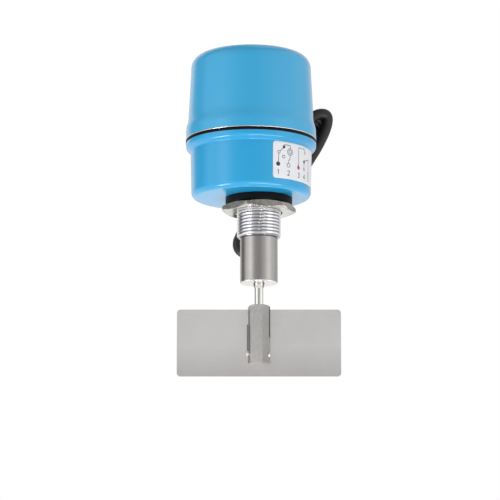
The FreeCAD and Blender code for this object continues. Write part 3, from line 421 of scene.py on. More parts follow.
def painted_shade_line(tree, coordinates, x, half_width, low_z, high_z, keep):
    """A dark upright line of painted shade at a place across the part, with soft edges, between two heights.
    """
    across, _, z = axes(tree, coordinates)
    soft_edge = 2.2
    soft_end = 0.6 * mm
    away = calculated(tree, "ABSOLUTE", calculated(tree, "SUBTRACT", across, x))
    line = ranged(tree, away, keep, 1.0, half_width, half_width * soft_edge)
    below = ranged(tree, z, 1.0, 0.0, low_z - soft_end, low_z)
    above = ranged(tree, z, 0.0, 1.0, high_z, high_z + soft_end)
    return calculated(tree, "MAXIMUM", line, calculated(tree, "MAXIMUM", below, above))


def blade_painted_shade(tree, coordinates):
    """The blade is darker towards its foot, with a painted shadow line where it enters the hub's left side.
    """
    # painted shadow of the gap between the blade and the hub
    line = painted_shade_line(
        tree, coordinates, x=-6.9 * mm, half_width=0.25 * mm, low_z=-86.3 * mm, high_z=-71 * mm, keep=0.25
    )
    foot_tone, foot_low_z, foot_high_z = 0.82, -102 * mm, -84 * mm
    foot = ranged(tree, axes(tree, coordinates)[2], foot_tone, 1.0, foot_low_z, foot_high_z)
    return calculated(tree, "MULTIPLY", line, foot)


def hub_painted_shade(tree, coordinates):
    """The hub's right facet is painted darker as shade, with a painted shadow line along its side, where the
    blade leaves it.
    """
    line = painted_shade_line(
        tree, coordinates, x=6.6 * mm, half_width=0.3 * mm, low_z=-78.5 * mm, high_z=-60 * mm, keep=0.2
    )
    # painted shade that darkens the right facet
    facet_shade_tone, edge_left_x, edge_right_x = 0.7, 1.8 * mm, 2.3 * mm
    facet = ranged(tree, axes(tree, coordinates)[0], 1.0, facet_shade_tone, edge_left_x, edge_right_x)
    return calculated(tree, "MULTIPLY", line, facet)


def collar_painted_shade(tree, coordinates):
    """Painted dark reflections on the sides of the shaft's collar under the tube."""
    left, right = (
        painted_shade_line(
            tree, coordinates, x=x, half_width=0.55 * mm, low_z=tube_foot_z - 2.6 * mm, high_z=tube_foot_z,
            keep=0.25,
        )
        for x in (-3.2 * mm, 3.2 * mm)
    )
    return calculated(tree, "MULTIPLY", left, right)


def tube_painted_light(tree, coordinates):
    """The tube's brushed side is darker than its end face, which is painted bright as a painted reflection,
    and a painted shadow makes the side darkest where the neck takes it.
    """
    z = axes(tree, coordinates)[2]
    side_tone, neck_shadow_tone = 0.5, 0.3
    # the end face keeps a painted-bright tone, and a painted shadow lies under the neck
    side = ranged(tree, z, 1.0, side_tone, tube_foot_z + 0.1 * mm, tube_foot_z + 0.45 * mm)
    seat = ranged(tree, z, 1.0, neck_shadow_tone, neck_low.z - 0.9 * mm, neck_low.z - 0.35 * mm)
    return calculated(tree, "MULTIPLY", side, seat)


def thread_shadow(tree, coordinates):
    """Darker roots between the thread's bright crests."""
    x, y, _ = axes(tree, coordinates)
    squares = calculated(tree, "ADD", calculated(tree, "MULTIPLY", x, x), calculated(tree, "MULTIPLY", y, y))
    radius = calculated(tree, "SQRT", squares)
    root_tone, dark_r, bright_r = 0.5, thread_r - 0.85 * thread_depth, thread_r - 0.3 * thread_depth
    return ranged(tree, radius, root_tone, 1.0, dark_r, bright_r)


def make_materials():
    paint = {"roughness": 0.45, "tone": 0.02, "cloud": 25, "grain": 700, "bump": 0.003}
    paint.update(rough_spread=0.03, coat=1.0, specular=0.2)
    turned_metal = {"metallic": 1.0, "stretch": (0.02, 0.02, 1)}
    drawn_metal = {"metallic": 1.0, "stretch": (1, 1, 0.03)}
    rolled_metal = {"metallic": 1.0, "stretch": (0.03, 1, 1)}
    looks = {
        "blue_paint": dict(colour=(0.009, 0.36, 0.69), coat_roughness=0.13, **paint),
        "cover_paint": dict(colour=(0.03, 0.392, 0.7), coat_roughness=0.12, **paint),
        "black_rubber": dict(
            colour=(0.007, 0.006, 0.006), roughness=0.5, tone=0.25, cloud=300, grain=2500, bump=0.02,
            specular=0.1,
        ),
        "aluminium": dict(
            colour=(0.9, 0.9, 0.91), roughness=0.16, tone=0.02, cloud=200, grain=5000, bump=0.002,
            **turned_metal,
        ),
        "neck_aluminium": dict(
            colour=(0.83, 0.83, 0.86), roughness=0.14, tone=0.02, cloud=200, grain=5000, bump=0.002,
            mark=thread_shadow, **turned_metal,
        ),
        "stainless": dict(
            colour=(0.56, 0.54, 0.52), roughness=0.24, tone=0.05, cloud=60, grain=9000, bump=0.004,
            **turned_metal,
        ),
        # The tube's colour is its end face's painted-bright tone; its mark darkens the side and paints the
        # shadow under the neck.
        "tube_steel": dict(
            colour=(0.84, 0.81, 0.79), roughness=0.27, tone=0.06, cloud=90, grain=9000, bump=0.006,
            mark=tube_painted_light, **turned_metal,
        ),
        "shaft_steel": dict(
            colour=(0.72, 0.71, 0.67), roughness=0.12, tone=0.03, cloud=60, grain=9000, bump=0.002,
            mark=collar_painted_shade, **turned_metal,
        ),
        "hub_steel": dict(
            colour=(0.53, 0.52, 0.505), roughness=0.38, tone=0.1, cloud=500, grain=3000, bump=0.006,
            mark=hub_painted_shade, **drawn_metal,
        ),
        "blade_steel": dict(
            colour=(0.755, 0.735, 0.725), roughness=0.5, tone=0.06, cloud=22, grain=5000, bump=0.004,
            mark=blade_painted_shade, **rolled_metal,
        ),
        "zinc_steel": dict(
            colour=(0.5, 0.48, 0.44), roughness=0.32, tone=0.12, cloud=250, grain=2500, bump=0.02,
            metallic=1.0,
        ),
        # The nut's steel in two copies: bright for its faces and chamfers as a painted reflection, dark for
        # its flats as painted shade.
        "nut_lit_faces": dict(
            colour=(0.6, 0.585, 0.555), roughness=0.2, tone=0.26, cloud=240, grain=600, bump=0.02,
            rough_spread=0.08, metallic=1.0,
        ),
        "nut_shaded_flats": dict(
            colour=(0.33, 0.315, 0.28), roughness=0.2, tone=0.34, cloud=120, grain=350, bump=0.01,
            rough_spread=0.08, metallic=1.0,
        ),
        "brass": dict(
            colour=(0.62, 0.42, 0.16), roughness=0.28, tone=0.06, cloud=200, grain=5000, bump=0.008,
            **turned_metal,
        ),
        "black_plastic": dict(
            colour=(0.02, 0.02, 0.022), roughness=0.45, tone=0.15, cloud=300, grain=3000, bump=0.02
        ),
        "nylon": dict(colour=(0.45, 0.03, 0.02), roughness=0.38, tone=0.1, cloud=300, grain=1800, bump=0.015),
        "motor_metal": dict(
            colour=(0.44, 0.43, 0.4), roughness=0.38, tone=0.06, cloud=80, grain=5000, bump=0.01,
            **turned_metal,
        ),
        "cable_black": dict(
            colour=(0.019, 0.015, 0.014), roughness=0.38, tone=0.2, cloud=90, grain=1200, bump=0.03,
            rough_spread=0.08, specular=0.38,
        ),
        "core_colours": dict(
            colour=(0.5, 0.04, 0.03), roughness=0.4, tone=0.08, cloud=200, grain=2000, bump=0.01
        ),
    }
    return {name: surface(name, **look) for name, look in looks.items()}


# Solids whose finish isn't the one that their slot names
node_finish = {"guard_tube": "tube_steel", "cover": "cover_paint"}


# Cable


def in_hank(across, y, along):
    """A point in the hank's own directions, in millimetres: across it, back of the axis, along it."""
    x = hank_x + (across * math.cos(hank_lean) + along * math.sin(hank_lean)) * mm
    z = hank_z + (along * math.cos(hank_lean) - across * math.sin(hank_lean)) * mm
    return (x, y * mm, z)


def fold_points(fold, side, up, y, next_y):
    """Control points of one fold, from one column over to the other."""
    middle, across, reach = fold
    points = []
    steps = 6
    for step in range(steps + 1):
        share = step / steps
        turn = math.pi * share
        along = middle + up * reach * math.sin(turn)
        points.append(in_hank(across - side * reach * math.cos(turn), y + (next_y - y) * share, along))
    return points


def hank_points():
    """The cable's turns: down the left column, round the low fold, up the right one and over."""
    points = []
    for number, layer in enumerate(hank_layers):
        y = layer["y"]
        points.append(in_hank(-hank_column, y, hank_column_half))
        points.append(in_hank(-hank_column, y, -hank_column_half))
        points += fold_points(layer["low"], 1, -1, y, y)
        if "right" not in layer:
            break
        low_across, high_across = layer["right"]
        places = (low_across, hank_column, high_across)
        points += [in_hank(across, y, along) for across, along in zip(places, right_column_heights)]
        if "high" in layer:
            points += fold_points(layer["high"], -1, 1, y, hank_layers[number + 1]["y"])
        else:
            points += in_metres(open_fold)
    for across, along in (sheath_end_from, sheath_end):
        points.append(in_hank(across, hank_layers[-1]["y"], along))
    return points


def make_cable(materials):
    cable = smooth_curve("supply_cable", in_metres(lead_route) + hank_points(), cable_r, 8)
    finish_with(cable, materials["cable_black"])
    place_piece(cable, "housing", "cable_black", "lead_cable", "cable_hank")
    cores = make_cores(materials)


core_colours = {
    "black": (0.02, 0.02, 0.02),
    "white": (0.75, 0.75, 0.72),
    "red": (0.5, 0.03, 0.02),
    "blue": (0.03, 0.12, 0.42),
    "yellow": (0.62, 0.45, 0.04),
}


def core_finish(name):
    found = bpy.data.materials.get("core_" + name)
    return found or surface(
        "core_" + name, core_colours[name], 0.4, tone=0.05, cloud=300, grain=3000, bump=0.01
    )


def make_cores(materials):
    """Five cores that spread at the cable's free end, each with a bare tip."""
    pieces = []
    y = hank_layers[-1]["y"]
    across, along = sheath_end
    circle_r = 1.8
    stages = [(-4, 1.0), (4, 1.0), (12, 1.15), (22, 1.5), (core_length, 1.9)]
    tip_far, tip_spread = core_length + 6, 2.0
    for number, name in enumerate(core_colours):
        turn = 2 * math.pi * number / len(core_colours)
        side, back = circle_r * math.cos(turn), circle_r * math.sin(turn)
        points = [in_hank(across + side * spread, y + back * spread, along + far) for far, spread in stages]
        core = smooth_curve("core_" + name, points, core_r)
        finish_with(core, core_finish(name))
        end = in_hank(across + side * tip_spread, y + back * tip_spread, along + tip_far)
        tip = smooth_curve("core_tip_" + name, [points[-1], end], core_r * 0.6, order=2)
        finish_with(tip, materials["brass"])
        pieces += [core, tip]
    for piece in pieces:
        place_piece(piece, "housing", "core_colours")
    return pieces


# Housing


def cup_radius(z):
    """Outer radius of the cup: the wall, the fillet under the rim, a short slope and the rim's round."""
    turn = math.radians(rim_round_deg)
    round_low_z = rim_round_top_z - rim_round_r * math.sin(turn)
    round_low_r = rim_r - rim_round_r * (1 - math.cos(turn))
    fillet_high_z = rim_fillet_low_z + rim_fillet_r * math.sin(turn)
    fillet_high_r = cup_wall_high_r + rim_fillet_r * (1 - math.cos(turn))
    if z >= rim_round_top_z:
        return rim_r
    if z >= round_low_z:
        drop = (rim_round_top_z - z) / rim_round_r
        return rim_r - rim_round_r * (1 - math.sqrt(1 - drop * drop))
    if z >= fillet_high_z:
        share = (z - fillet_high_z) / (round_low_z - fillet_high_z)
        return fillet_high_r + (round_low_r - fillet_high_r) * share
    if z >= rim_fillet_low_z:
        rise = (z - rim_fillet_low_z) / rim_fillet_r
        return cup_wall_high_r + rim_fillet_r * (1 - math.sqrt(1 - rise * rise))
    share = min(1.0, (z - cup_wall_low_z) / (cup_step_low_z - cup_wall_low_z))
    return cup_wall_low_r + (cup_wall_high_r - cup_wall_low_r) * share


def make_cup(materials):
    """The cup's own solid, with the rim's lower edge rounded over more of its height."""
    cup = copy_of("housing_cup", "cup_shell")
    cuts = 26
    heights = [cup_step_low_z + (rim_round_top_z - cup_step_low_z) * cut / cuts for cut in range(cuts + 1)]
    margin = 1e-6

    def wanted(radius, z):
        inner = cup_wall_high_r + (0.5 if z > rim_fillet_low_z else -0.3) * mm
        under_rim = cup_step_low_z - margin <= z < rim_round_top_z + margin
        return cup_radius(z) if under_rim and radius > inner else radius

    reshape(cup, heights, wanted, housing_x)
    join_doubles(cup.data)
    complete(cup, 32, materials["blue_paint"], "housing", "blue_paint", "housing_cup")


def make_seam(materials):
    """The gasket's lip, and the cover's machined lower edge with the painted skirt over it."""
    inner_r, outer_r = seam_inner_r, rim_r + lip_proud
    film = 0.02 * mm
    tuck_r = rim_r - 0.05 * mm
    gasket = lathe("gasket_lip", [
        (inner_r, cup_top_z + film), (inner_r, seam_high_z), (rim_r, seam_high_z),
        (outer_r, seam_high_z - 0.15 * mm), (outer_r, seam_low_z + 0.2 * mm), (rim_r + film, seam_low_z),
        (tuck_r, seam_low_z), (tuck_r, cup_top_z),
    ], housing_x)
    complete(gasket, 50, materials["black_rubber"], "housing", "black_rubber")
    low_z, high_z = seam_high_z + film, seam_high_z + lip_height
    edge = [(inner_r, high_z)]
    steps = 8
    for step in range(steps + 1):
        turn = math.pi * (0.5 - step / steps)
        z = (low_z + high_z) / 2 + (high_z - low_z) / 2 * math.sin(turn)
        edge.append((outer_r - lip_proud * 2 * (1 - math.cos(turn)), z))
    edge.append((inner_r, low_z))
    complete(lathe("cover_lip", edge, housing_x), 50, materials["aluminium"], "cover", "aluminium")
    painted_r = rim_r + film
    skirt = lathe("cover_skirt", [
        (inner_r, high_z), (inner_r, skirt_high_z), (painted_r, skirt_high_z), (painted_r, high_z),
    ], housing_x)
    complete(skirt, 50, materials["cover_paint"], "cover", "blue_paint")


def make_seal_cover(materials):
    """A flat ring that closes the tube's foot round the shaft, almost flush with its face."""
    inner_r, outer_r = collar_r + 0.2 * mm, 7.6 * mm
    low_z, high_z = tube_foot_z - 0.03 * mm, tube_foot_z + 0.05 * mm
    ring = lathe("seal_cover", [
        (inner_r, high_z), (outer_r, high_z), (outer_r, low_z), (inner_r, low_z),
    ], columns=96)
    complete(ring, 30, materials["tube_steel"], "housing", "stainless")


def make_shaft(materials):
    """The shaft, with a collar under the tube that tapers to one thickness down to the hub."""
    shaft = copy_of("drive_shaft", "shaft_turned")
    step = 0.01 * mm
    surface_r = 2.0 * mm
    low_z, high_z = hub_top_z + 0.3 * mm, tube_foot_z + 0.4 * mm
    taper_middle_z = (collar_low_z + collar_taper_z) / 2
    heights = (
        high_z, high_z - step, collar_low_z, taper_middle_z, collar_taper_z, low_z, hub_top_z + step
    )

    def wanted(radius, z):
        if radius <= surface_r or not low_z - step < z < high_z - step / 2:
            return radius
        share = (z - collar_taper_z) / (collar_low_z - collar_taper_z)
        return shaft_neck_r + (collar_r - shaft_neck_r) * min(1.0, max(0.0, share))

    reshape(shaft, heights, wanted)
    complete(shaft, 30, materials["shaft_steel"], "paddle_rotor", "stainless", "drive_shaft")


def make_locknut(materials):
    """The thin nut, chamfered on both faces so that its corners are lower than its flats."""
    apothem = 20.5 * mm
    corner = math.radians(11.5)
    sixth = math.pi / 3
    corner_r = 22.95 * mm
    chamfer_r = apothem - 0.3 * mm
    face_r = chamfer_r - 1.2 * mm
    bore_r = thread_r + 0.1 * mm
    entry = 0.9 * mm
    slope = 0.42
    edge_rows = 8
    low_z, high_z = nut_low_z, nut_high_z
    reach = (corner_r - chamfer_r) * slope
    heights = [low_z + reach * row / edge_rows for row in range(edge_rows + 1)]
    heights += [high_z - reach * (1 - row / edge_rows) for row in range(edge_rows + 1)]

    def outline_at(turn):
        side_r = min(apothem / math.cos((turn - corner) % sixth - sixth / 2), corner_r)
        side = [(min(side_r, chamfer_r + min(z - low_z, high_z - z) / slope), z) for z in heights]
        return [
            (bore_r, low_z + entry), (bore_r + entry, low_z), (face_r, low_z), *side,
            (face_r, high_z), (bore_r + entry, high_z), (bore_r, high_z - entry),
        ]

    nut = turned("locknut_hex", outline_at, 240, start=corner)
    sharpen(nut, 14)
    finish_with(nut, materials["nut_lit_faces"], materials["nut_shaded_flats"])
    # The flats take the painted-dark copy of the steel, and the faces and chamfers take the painted-bright
    # one.
    for face in nut.data.polygons:
        outside = face.center.xy.length > bore_r + 2 * mm
        face.material_index = 1 if outside and abs(face.normal.z) < 0.3 else 0
    place_piece(nut, "locknut", "zinc_steel", "locknut")


def make_washer(materials):
    """The soft washer, squeezed a little over the nut, with a rounded lower edge."""
    inner_r, outer_r = thread_r + 0.3 * mm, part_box("rubber_washer")[1].x
    low_z, high_z = nut_high_z, cup_low_z
    edge = 1.2 * mm
    outline = [(inner_r, high_z), (inner_r, low_z)]
    steps = 8
    for step in range(steps + 1):
        turn = math.pi / 2 * step / steps
        outline.append((outer_r - edge + edge * math.sin(turn), low_z + edge * (1 - math.cos(turn))))
    outline.append((outer_r, high_z))
    washer = lathe("washer_ring", outline)
    complete(washer, 40, materials["black_rubber"], "housing", "black_rubber", "rubber_washer")


# Threaded neck


def thread_radius(z, turn):
    """Radius of the neck's threaded stretch at a height and an angle."""
    crest_share, flank_share = 0.5, 0.34
    phase = (z / thread_pitch - turn / (2 * math.pi)) % 1.0
    groove = min(1.0, max(0.0, (abs(2 * phase - 1) - crest_share) / flank_share))
    run_out = min(1.0, max(0.0, (neck_low.z + thread_end_chamfer - z) / thread_end_chamfer))
    crest = thread_r - run_out * thread_end_chamfer
    return min(crest, thread_r - thread_depth * groove)


def make_neck(materials):
    """The neck with a real helical thread, its flange, bores and bearing seat."""
    rows_per_pitch = 14
    thread_rows = round(-neck_low.z / thread_pitch * rows_per_pitch)
    heights = [neck_low.z * (1 - row / thread_rows) for row in range(thread_rows + 1)]
    spigot_top_z = neck_low.z + 12 * mm
    spigot_r = 10.8 * mm
    waist_r = 6.0 * mm
    seat_r = 9.52 * mm
    seat_z = neck_high.z - 6 * mm
    floor_z = cup_low_z + 2 * mm
    flange_r = neck_high.x

    def outline_at(turn):
        return [
            (spigot_r, neck_low.z), *[(thread_radius(z, turn), z) for z in heights],
            (shoulder_r, 0.05 * mm), (shoulder_r, floor_z), (flange_r, floor_z), (flange_r, neck_high.z),
            (seat_r, neck_high.z), (seat_r, seat_z), (waist_r, seat_z), (waist_r, spigot_top_z),
            (spigot_r, spigot_top_z),
        ]

    neck = turned("neck_thread", outline_at, 144)
    complete(neck, 30, materials["neck_aluminium"], "housing", "aluminium", "threaded_neck")


# Label


label_left_deg = 21.0
label_right_deg = 86.0
label_low_z = 13.7 * mm
label_high_z = 36.6 * mm
label_corner = 1.6 * mm
label_lift = 0.12 * mm
ink_lift = 0.15 * mm


def on_label(u, v, lift):
    """A point on the cup's front: u along the label in metres from its left edge, v up from its foot."""
    z = label_low_z + v
    turn = math.radians(label_left_deg) + u / cup_wall_high_r
    radius = cup_radius(z) + lift
    return (housing_x + radius * math.sin(turn), -radius * math.cos(turn), z)


label_width = cup_wall_high_r * math.radians(label_right_deg - label_left_deg)
label_height = label_high_z - label_low_z


def make_label():
    """A white plate of film round the cup's wall, with rounded corners and a real edge."""
    columns, rows = 72, 30
    verts, faces = [], []
    for column in range(columns + 1):
        u = label_width * column / columns
        edge = min(u, label_width - u)
        inset = 0.0
        if edge < label_corner:
            inset = label_corner - math.sqrt(label_corner ** 2 - (label_corner - edge) ** 2)
        for row in range(rows + 1):
            v = inset + (label_height - 2 * inset) * row / rows
            verts.append(on_label(u, v, label_lift))
    for column in range(columns):
        for row in range(rows):
            first = column * (rows + 1) + row
            faces.append((first, first + rows + 1, first + rows + 2, first + 1))
    label = add_mesh("label", verts, faces)
    solid = label.modifiers.new("film", "SOLIDIFY")
    solid.thickness = label_lift - 0.01 * mm
    solid.offset = -1
    finish_with(label, surface(
        "label_film", (0.82, 0.83, 0.86), 0.35, tone=0.02, cloud=60, grain=1500, bump=0.004, coat=0.4
    ))
    place_piece(label, "housing", "nylon")


def ink(name, strokes, discs, colour):
    """Lines and dots printed on the label, in millimetres from its lower left corner, as raised film."""
    verts, faces = [], []
    count = 28
    longest = 1.2

    def patch(points):
        start = len(verts)
        verts.extend(on_label(u * mm, v * mm, ink_lift) for u, v in points)
        return start

    def circle(u, v, radius):
        turns = [2 * math.pi * k / count for k in range(count)]
        return patch([(u + radius * math.cos(t), v + radius * math.sin(t)) for t in turns])

    for line, width in strokes:
        for (u0, v0), (u1, v1) in zip(line, line[1:]):
            length = math.hypot(u1 - u0, v1 - v0)
            side_u, side_v = -(v1 - v0) / length * width / 2, (u1 - u0) / length * width / 2
            steps = max(1, round(length / longest))
            for step in range(steps):
                corners = []
                for end, way in ((step, 1), (step, -1), (step + 1, -1), (step + 1, 1)):
                    u, v = u0 + (u1 - u0) * (end / steps), v0 + (v1 - v0) * (end / steps)
                    corners.append((u + side_u * way, v + side_v * way))
                start = patch(corners)
                faces.append(tuple(range(start, start + 4)))
    for u, v, radius, hole in discs:
        outer = circle(u, v, radius)
        if hole:
            inner = circle(u, v, hole)
            for k in range(count):
                after = (k + 1) % count
                faces.append((outer + k, outer + after, inner + after, inner + k))
        else:
            faces.append(tuple(range(outer, outer + count)))
    made = add_mesh(name, verts, faces, False)
    finish_with(made, surface(name, colour, 0.4, tone=0.1, cloud=300, grain=2500, bump=0.002))
    place_piece(made, "housing", "nylon")


# The numbers from 1 to 5, each as one stroke in a box 0.6 wide and 1 high
number_shapes = [
    [(0.12, 0.8), (0.36, 1.0), (0.36, 0.0)],
    [
        (0.02, 0.78), (0.14, 0.95), (0.3, 1.0), (0.5, 0.93), (0.57, 0.74), (0.48, 0.52), (0.02, 0.0),
        (0.6, 0.0),
    ],
    [
        (0.03, 0.86), (0.2, 1.0), (0.44, 0.97), (0.56, 0.78), (0.46, 0.58), (0.24, 0.53), (0.46, 0.48),
        (0.58, 0.26), (0.46, 0.05), (0.22, 0.0), (0.02, 0.14),
    ],
    [(0.45, 0.0), (0.45, 1.0), (0.0, 0.3), (0.6, 0.3)],
    [
        (0.55, 1.0), (0.1, 1.0), (0.05, 0.56), (0.28, 0.63), (0.5, 0.54), (0.58, 0.32), (0.48, 0.08),
        (0.24, 0.0), (0.02, 0.12),
    ],
]


def make_diagram():
    """A plain contact diagram: a lamp circuit, a motor ring and a changeover contact, with numbers."""
    thin, medium, thick = 0.36, 0.42, 0.9
    black, red = (0.02, 0.02, 0.02), (0.42, 0.02, 0.02)
    lines = [
        [(3.5, 9.5), (3.8, 15.3)],
        [(4.5, 16.5), (7.0, 19.0)],
        [(7.4, 19.8), (7.6, 20.9), (12.2, 20.9), (12.2, 18.9)],
        [(12.0, 14.9), (12.0, 12.4), (10.9, 11.4), (10.9, 9.8)],
        [(19.5, 10.1), (19.5, 20.9), (25.8, 20.9), (25.8, 19.2)],
        [(25.5, 9.2), (25.5, 12.6)],
        [(26.0, 13.8), (31.6, 15.6), (31.6, 7.4)],
    ]
    strokes = [(line, thin) for line in lines]
    foot, height = 2.3, 2.9
    for left, shape in zip((2.6, 10.1, 18.8, 24.8, 31.0), number_shapes):
        strokes.append(([(left + x * height, foot + y * height) for x, y in shape], medium))
    discs = [
        (7.4, 19.5, 0.95, 0), (3.4, 8.7, 1.35, 0), (25.5, 13.1, 1.0, 0), (3.9, 16.1, 1.0, 0.64),
        (7.2, 13.5, 1.1, 0.74), (12.0, 16.9, 2.2, 1.85), (12.0, 16.9, 1.25, 0.9), (10.9, 8.6, 1.35, 1.0),
        (26.2, 18.6, 0.8, 0.5), (25.5, 8.5, 0.95, 0.6), (31.6, 6.7, 0.85, 0.5),
    ]
    ink("label_lines", strokes, discs, black)
    ink("label_red", [([(19.5, 8.6), (19.5, 10.3)], thick)], [(19.5, 8.4, 1.15, 0)], red)


# Welds


def make_welds():
    """Two weld beads at the hub's foot, each an uneven rippled dome on the blade's face."""
    face_y = -0.6 * mm
    sunk = 0.05 * mm
    ripple = 0.03 * mm
    upright = 1.6
    columns, rows = 32, 12
    beads_at = (
        {"x": -6.9 * mm, "z": -88.3 * mm, "radius": 1.3 * mm, "depth": 1.3 * mm},
        {"x": 6.0 * mm, "z": -89.4 * mm, "radius": 1.3 * mm, "depth": 2.7 * mm},
    )
    verts, faces = [], []
    for bead in beads_at:
        x, z = bead["x"], bead["z"]
        start = len(verts)
        for row in range(rows + 1):
            share = row / rows
            height = bead["depth"] * math.sqrt(1 - share * share)
            y = face_y - (height + ripple * math.sin(share * 5 * math.pi)) + sunk
            for column in range(columns):
                turn = 2 * math.pi * column / columns
                uneven = 1 + 0.08 * math.sin(3 * turn + 1 + z * 900) + 0.04 * math.sin(7 * turn)
                reach = bead["radius"] * share * uneven
                verts.append((x + reach * math.cos(turn), y, z + reach * upright * math.sin(turn)))
        for row in range(rows):
            for column in range(columns):
                after = (column + 1) % columns
                low, high = start + row * columns, start + (row + 1) * columns
                faces.append((low + column, low + after, high + after, high + column))
    beads = add_mesh("weld_beads", verts, faces)
    finish_with(beads, surface(
        "bead_steel", (0.66, 0.63, 0.58), 0.16, tone=0.2, cloud=900, grain=3000, bump=0.01, metallic=1.0
    ))
    place_piece(beads, "paddle_rotor", "stainless", "weld_tacks")


def make_hub(materials):
    """The hub, chamfered at its top, with its edges broken so that they catch the light."""
    hub = copy_of("paddle_hub", "hub_hexagon")
    chamfer_height = 1.5 * mm
    top_corner_r = 5.7 * mm

    def wanted(radius, z):
        return min(radius, top_corner_r) if z > hub_top_z - 0.01 * mm else radius

    reshape(hub, [hub_top_z - chamfer_height], wanted)
    bevel = hub.modifiers.new("edges", "BEVEL")
    bevel.width = 0.42 * mm
    bevel.segments = 2
    bevel.limit_method = "ANGLE"
    bevel.angle_limit = math.radians(25)
    apply_modifiers(hub)
    complete(hub, 24, materials["hub_steel"], "paddle_rotor", "stainless", "paddle_hub")


# Screw recesses


def islands(mesh):
    """The mesh's separate shells, each as its lowest corner, its highest corner and its polygons."""
    work = bmesh.new()
    work.from_mesh(mesh)
    seen, found = set(), []
    for face in work.faces:
        if face.index in seen:
            continue
        group, todo = [], [face]
        seen.add(face.index)
        while todo:
            current = todo.pop()
            group.append(current)
            for edge in current.edges:
                for other in edge.link_faces:
                    if other.index not in seen:
                        seen.add(other.index)
                        todo.append(other)
        places = [v.co.copy() for f in group for v in f.verts]
        low = Vector([min(p[k] for p in places) for k in range(3)])
        high = Vector([max(p[k] for p in places) for k in range(3)])
        found.append((low, high, [f.index for f in group]))
    work.free()
    return found


def cross_cutter(places, reach, width, depth):
    """Upright crosses with tapering arms that cut the recesses."""
    verts, faces = [], []
    count = 12
    low_scale, high_scale = 0.45, 1.35
    for x, y, z, turn in places:
        start = len(verts)
        for height, scale in ((-depth, low_scale), (depth, high_scale)):
            tip = reach * scale
            for quarter in range(4):
                along = Vector((math.cos(turn), math.sin(turn), 0))
                along.rotate(Matrix.Rotation(quarter * math.pi / 2, 3, "Z"))
                side = Vector((-along.y, along.x, 0))
                for far, wide in ((tip, -width), (tip, width), (width, width)):
                    verts.append(Vector((x, y, z + height)) + along * far + side * wide)
        faces.append(tuple(start + k for k in reversed(range(count))))
        faces.append(tuple(start + count + k for k in range(count)))
        for k in range(count):
            after = (k + 1) % count
            faces.append((start + k, start + after, start + count + after, start + count + k))
    return add_mesh("cutter", verts, faces, False)


# Body that the screws ride on, and their recess in millimetres: reach of its arms, half their width, depth
screw_recesses = {
    "cover_screw": ("cover", 2.6, 0.5, 1.6),
    "bridge_screws": ("housing", 1.4, 0.3, 1.0),
    "base_screws": ("housing", 1.4, 0.3, 1.0),
    "support_screws": ("housing", 1.3, 0.3, 0.9),
}


def recess_screws(node, material):
    """Screws whose heads have a cross recess, cut out of a copy of their solids."""
    body, reach, width, depth = screw_recesses[node]
    piece = copy_of(node, node + "_crossed")
    first_turn, next_turn = 0.4, 0.9
    places = []
    for number, (low, high, _) in enumerate(islands(piece.data)):
        centre = (low + high) / 2
        places.append((centre.x, centre.y, high.z, first_turn + next_turn * number))
    cutter = cross_cutter(places, reach * mm, width * mm, depth * mm)
    cut = piece.modifiers.new("recess", "BOOLEAN")
    cut.operation = "DIFFERENCE"
    cut.solver = "EXACT"
    cut.object = cutter
    apply_modifiers(piece)
    bpy.data.objects.remove(cutter)
    complete(piece, 30, material, body, "zinc_steel", node)


# Spring and leads


def make_return_spring(materials):
    """Close-wound extension spring with a loop round each of its pins, in millimetres."""
    x, z = 19.5, 48.5
    anchor_y, pin_y = -20.0, -4.0
    coil_r, loop_r, reach, wire_r = 2.2, 1.85, 2.0, 0.34
    turns, steps = 15, 20
    start_y, end_y = anchor_y + reach, pin_y - reach

    def on_loop(y, way, step):
        turn = 2 * math.pi * step / steps
        return (x + loop_r * math.sin(turn), y + way * loop_r * math.cos(turn), z)

    points = [on_loop(anchor_y, 1, step) for step in range(steps - 1, 0, -1)]
    for step in range(turns * steps + 1):
        turn = 2 * math.pi * step / steps
        y = start_y + (end_y - start_y) * (step / (turns * steps))
        points.append((x + coil_r * math.cos(turn), y, z + coil_r * math.sin(turn)))
    points += [on_loop(pin_y, -1, step) for step in range(1, steps)]
    spring = as_mesh(smooth_curve("spring_wire", in_metres(points), wire_r * mm, 2))
    finish_with(spring, materials["stainless"])
    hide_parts("return_spring")
    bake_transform(spring)


def make_motor_leads():
    """Two leads from the motor's can to the outer switch."""
    motor_x, can_z = -9.0, 65.7
    terminal_x, terminal_y, terminal_z = 25.0, 13.8, 59.8
    for number, name in enumerate(("blue", "red")):
        side = 2 * number - 1
        points = []
        for reach, degrees in ((24.8, 62 - 5 * number), (28.5, 56 - 6 * number)):
            turn = math.radians(degrees)
            points.append((motor_x + reach * math.cos(turn), reach * math.sin(turn), can_z))
        z = terminal_z + 1.3 * side
        points.append((terminal_x - 3, terminal_y + 3.5, z + 3))
        points.append((terminal_x + 0.8 * side, terminal_y, z))
        points = in_metres(points)
        lead = as_mesh(smooth_curve("motor_lead_" + name, points, core_r, 10))
        finish_with(lead, core_finish(name))
        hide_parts("motor_leads")
        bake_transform(lead)


def make_inner_leads():
    """The cores inside the cup, each in a colour of its own."""
    piece = copy_of("inner_leads", "inner_cores")
    finish_with(piece, *[core_finish(name) for name in core_colours])
    for number, (_, _, polygons) in enumerate(islands(piece.data)):
        for index in polygons:
            piece.data.polygons[index].material_index = number % len(core_colours)
    sharpen(piece, 40)
    place_piece(piece, "housing", "core_colours", "inner_leads")


# Camera, stage and light


def make_camera():
    data = bpy.data.cameras.new("camera")
    data.lens = data.sensor_width * view_distance / view_width
    data.clip_end = 50
    camera = add_object("camera", data)
    face_point(camera, aim, 0, view_elevation, view_distance)
    bpy.context.scene.camera = camera


def chosen(tree, choice, first, second):
    """The first shader, or the second one for the rays that the choice names."""
    made = tree.nodes.new("ShaderNodeMixShader")
    link(tree, choice, made.inputs["Fac"])
    link(tree, first, made.inputs[1])
    link(tree, second, made.inputs[2])
    return made.outputs[0]


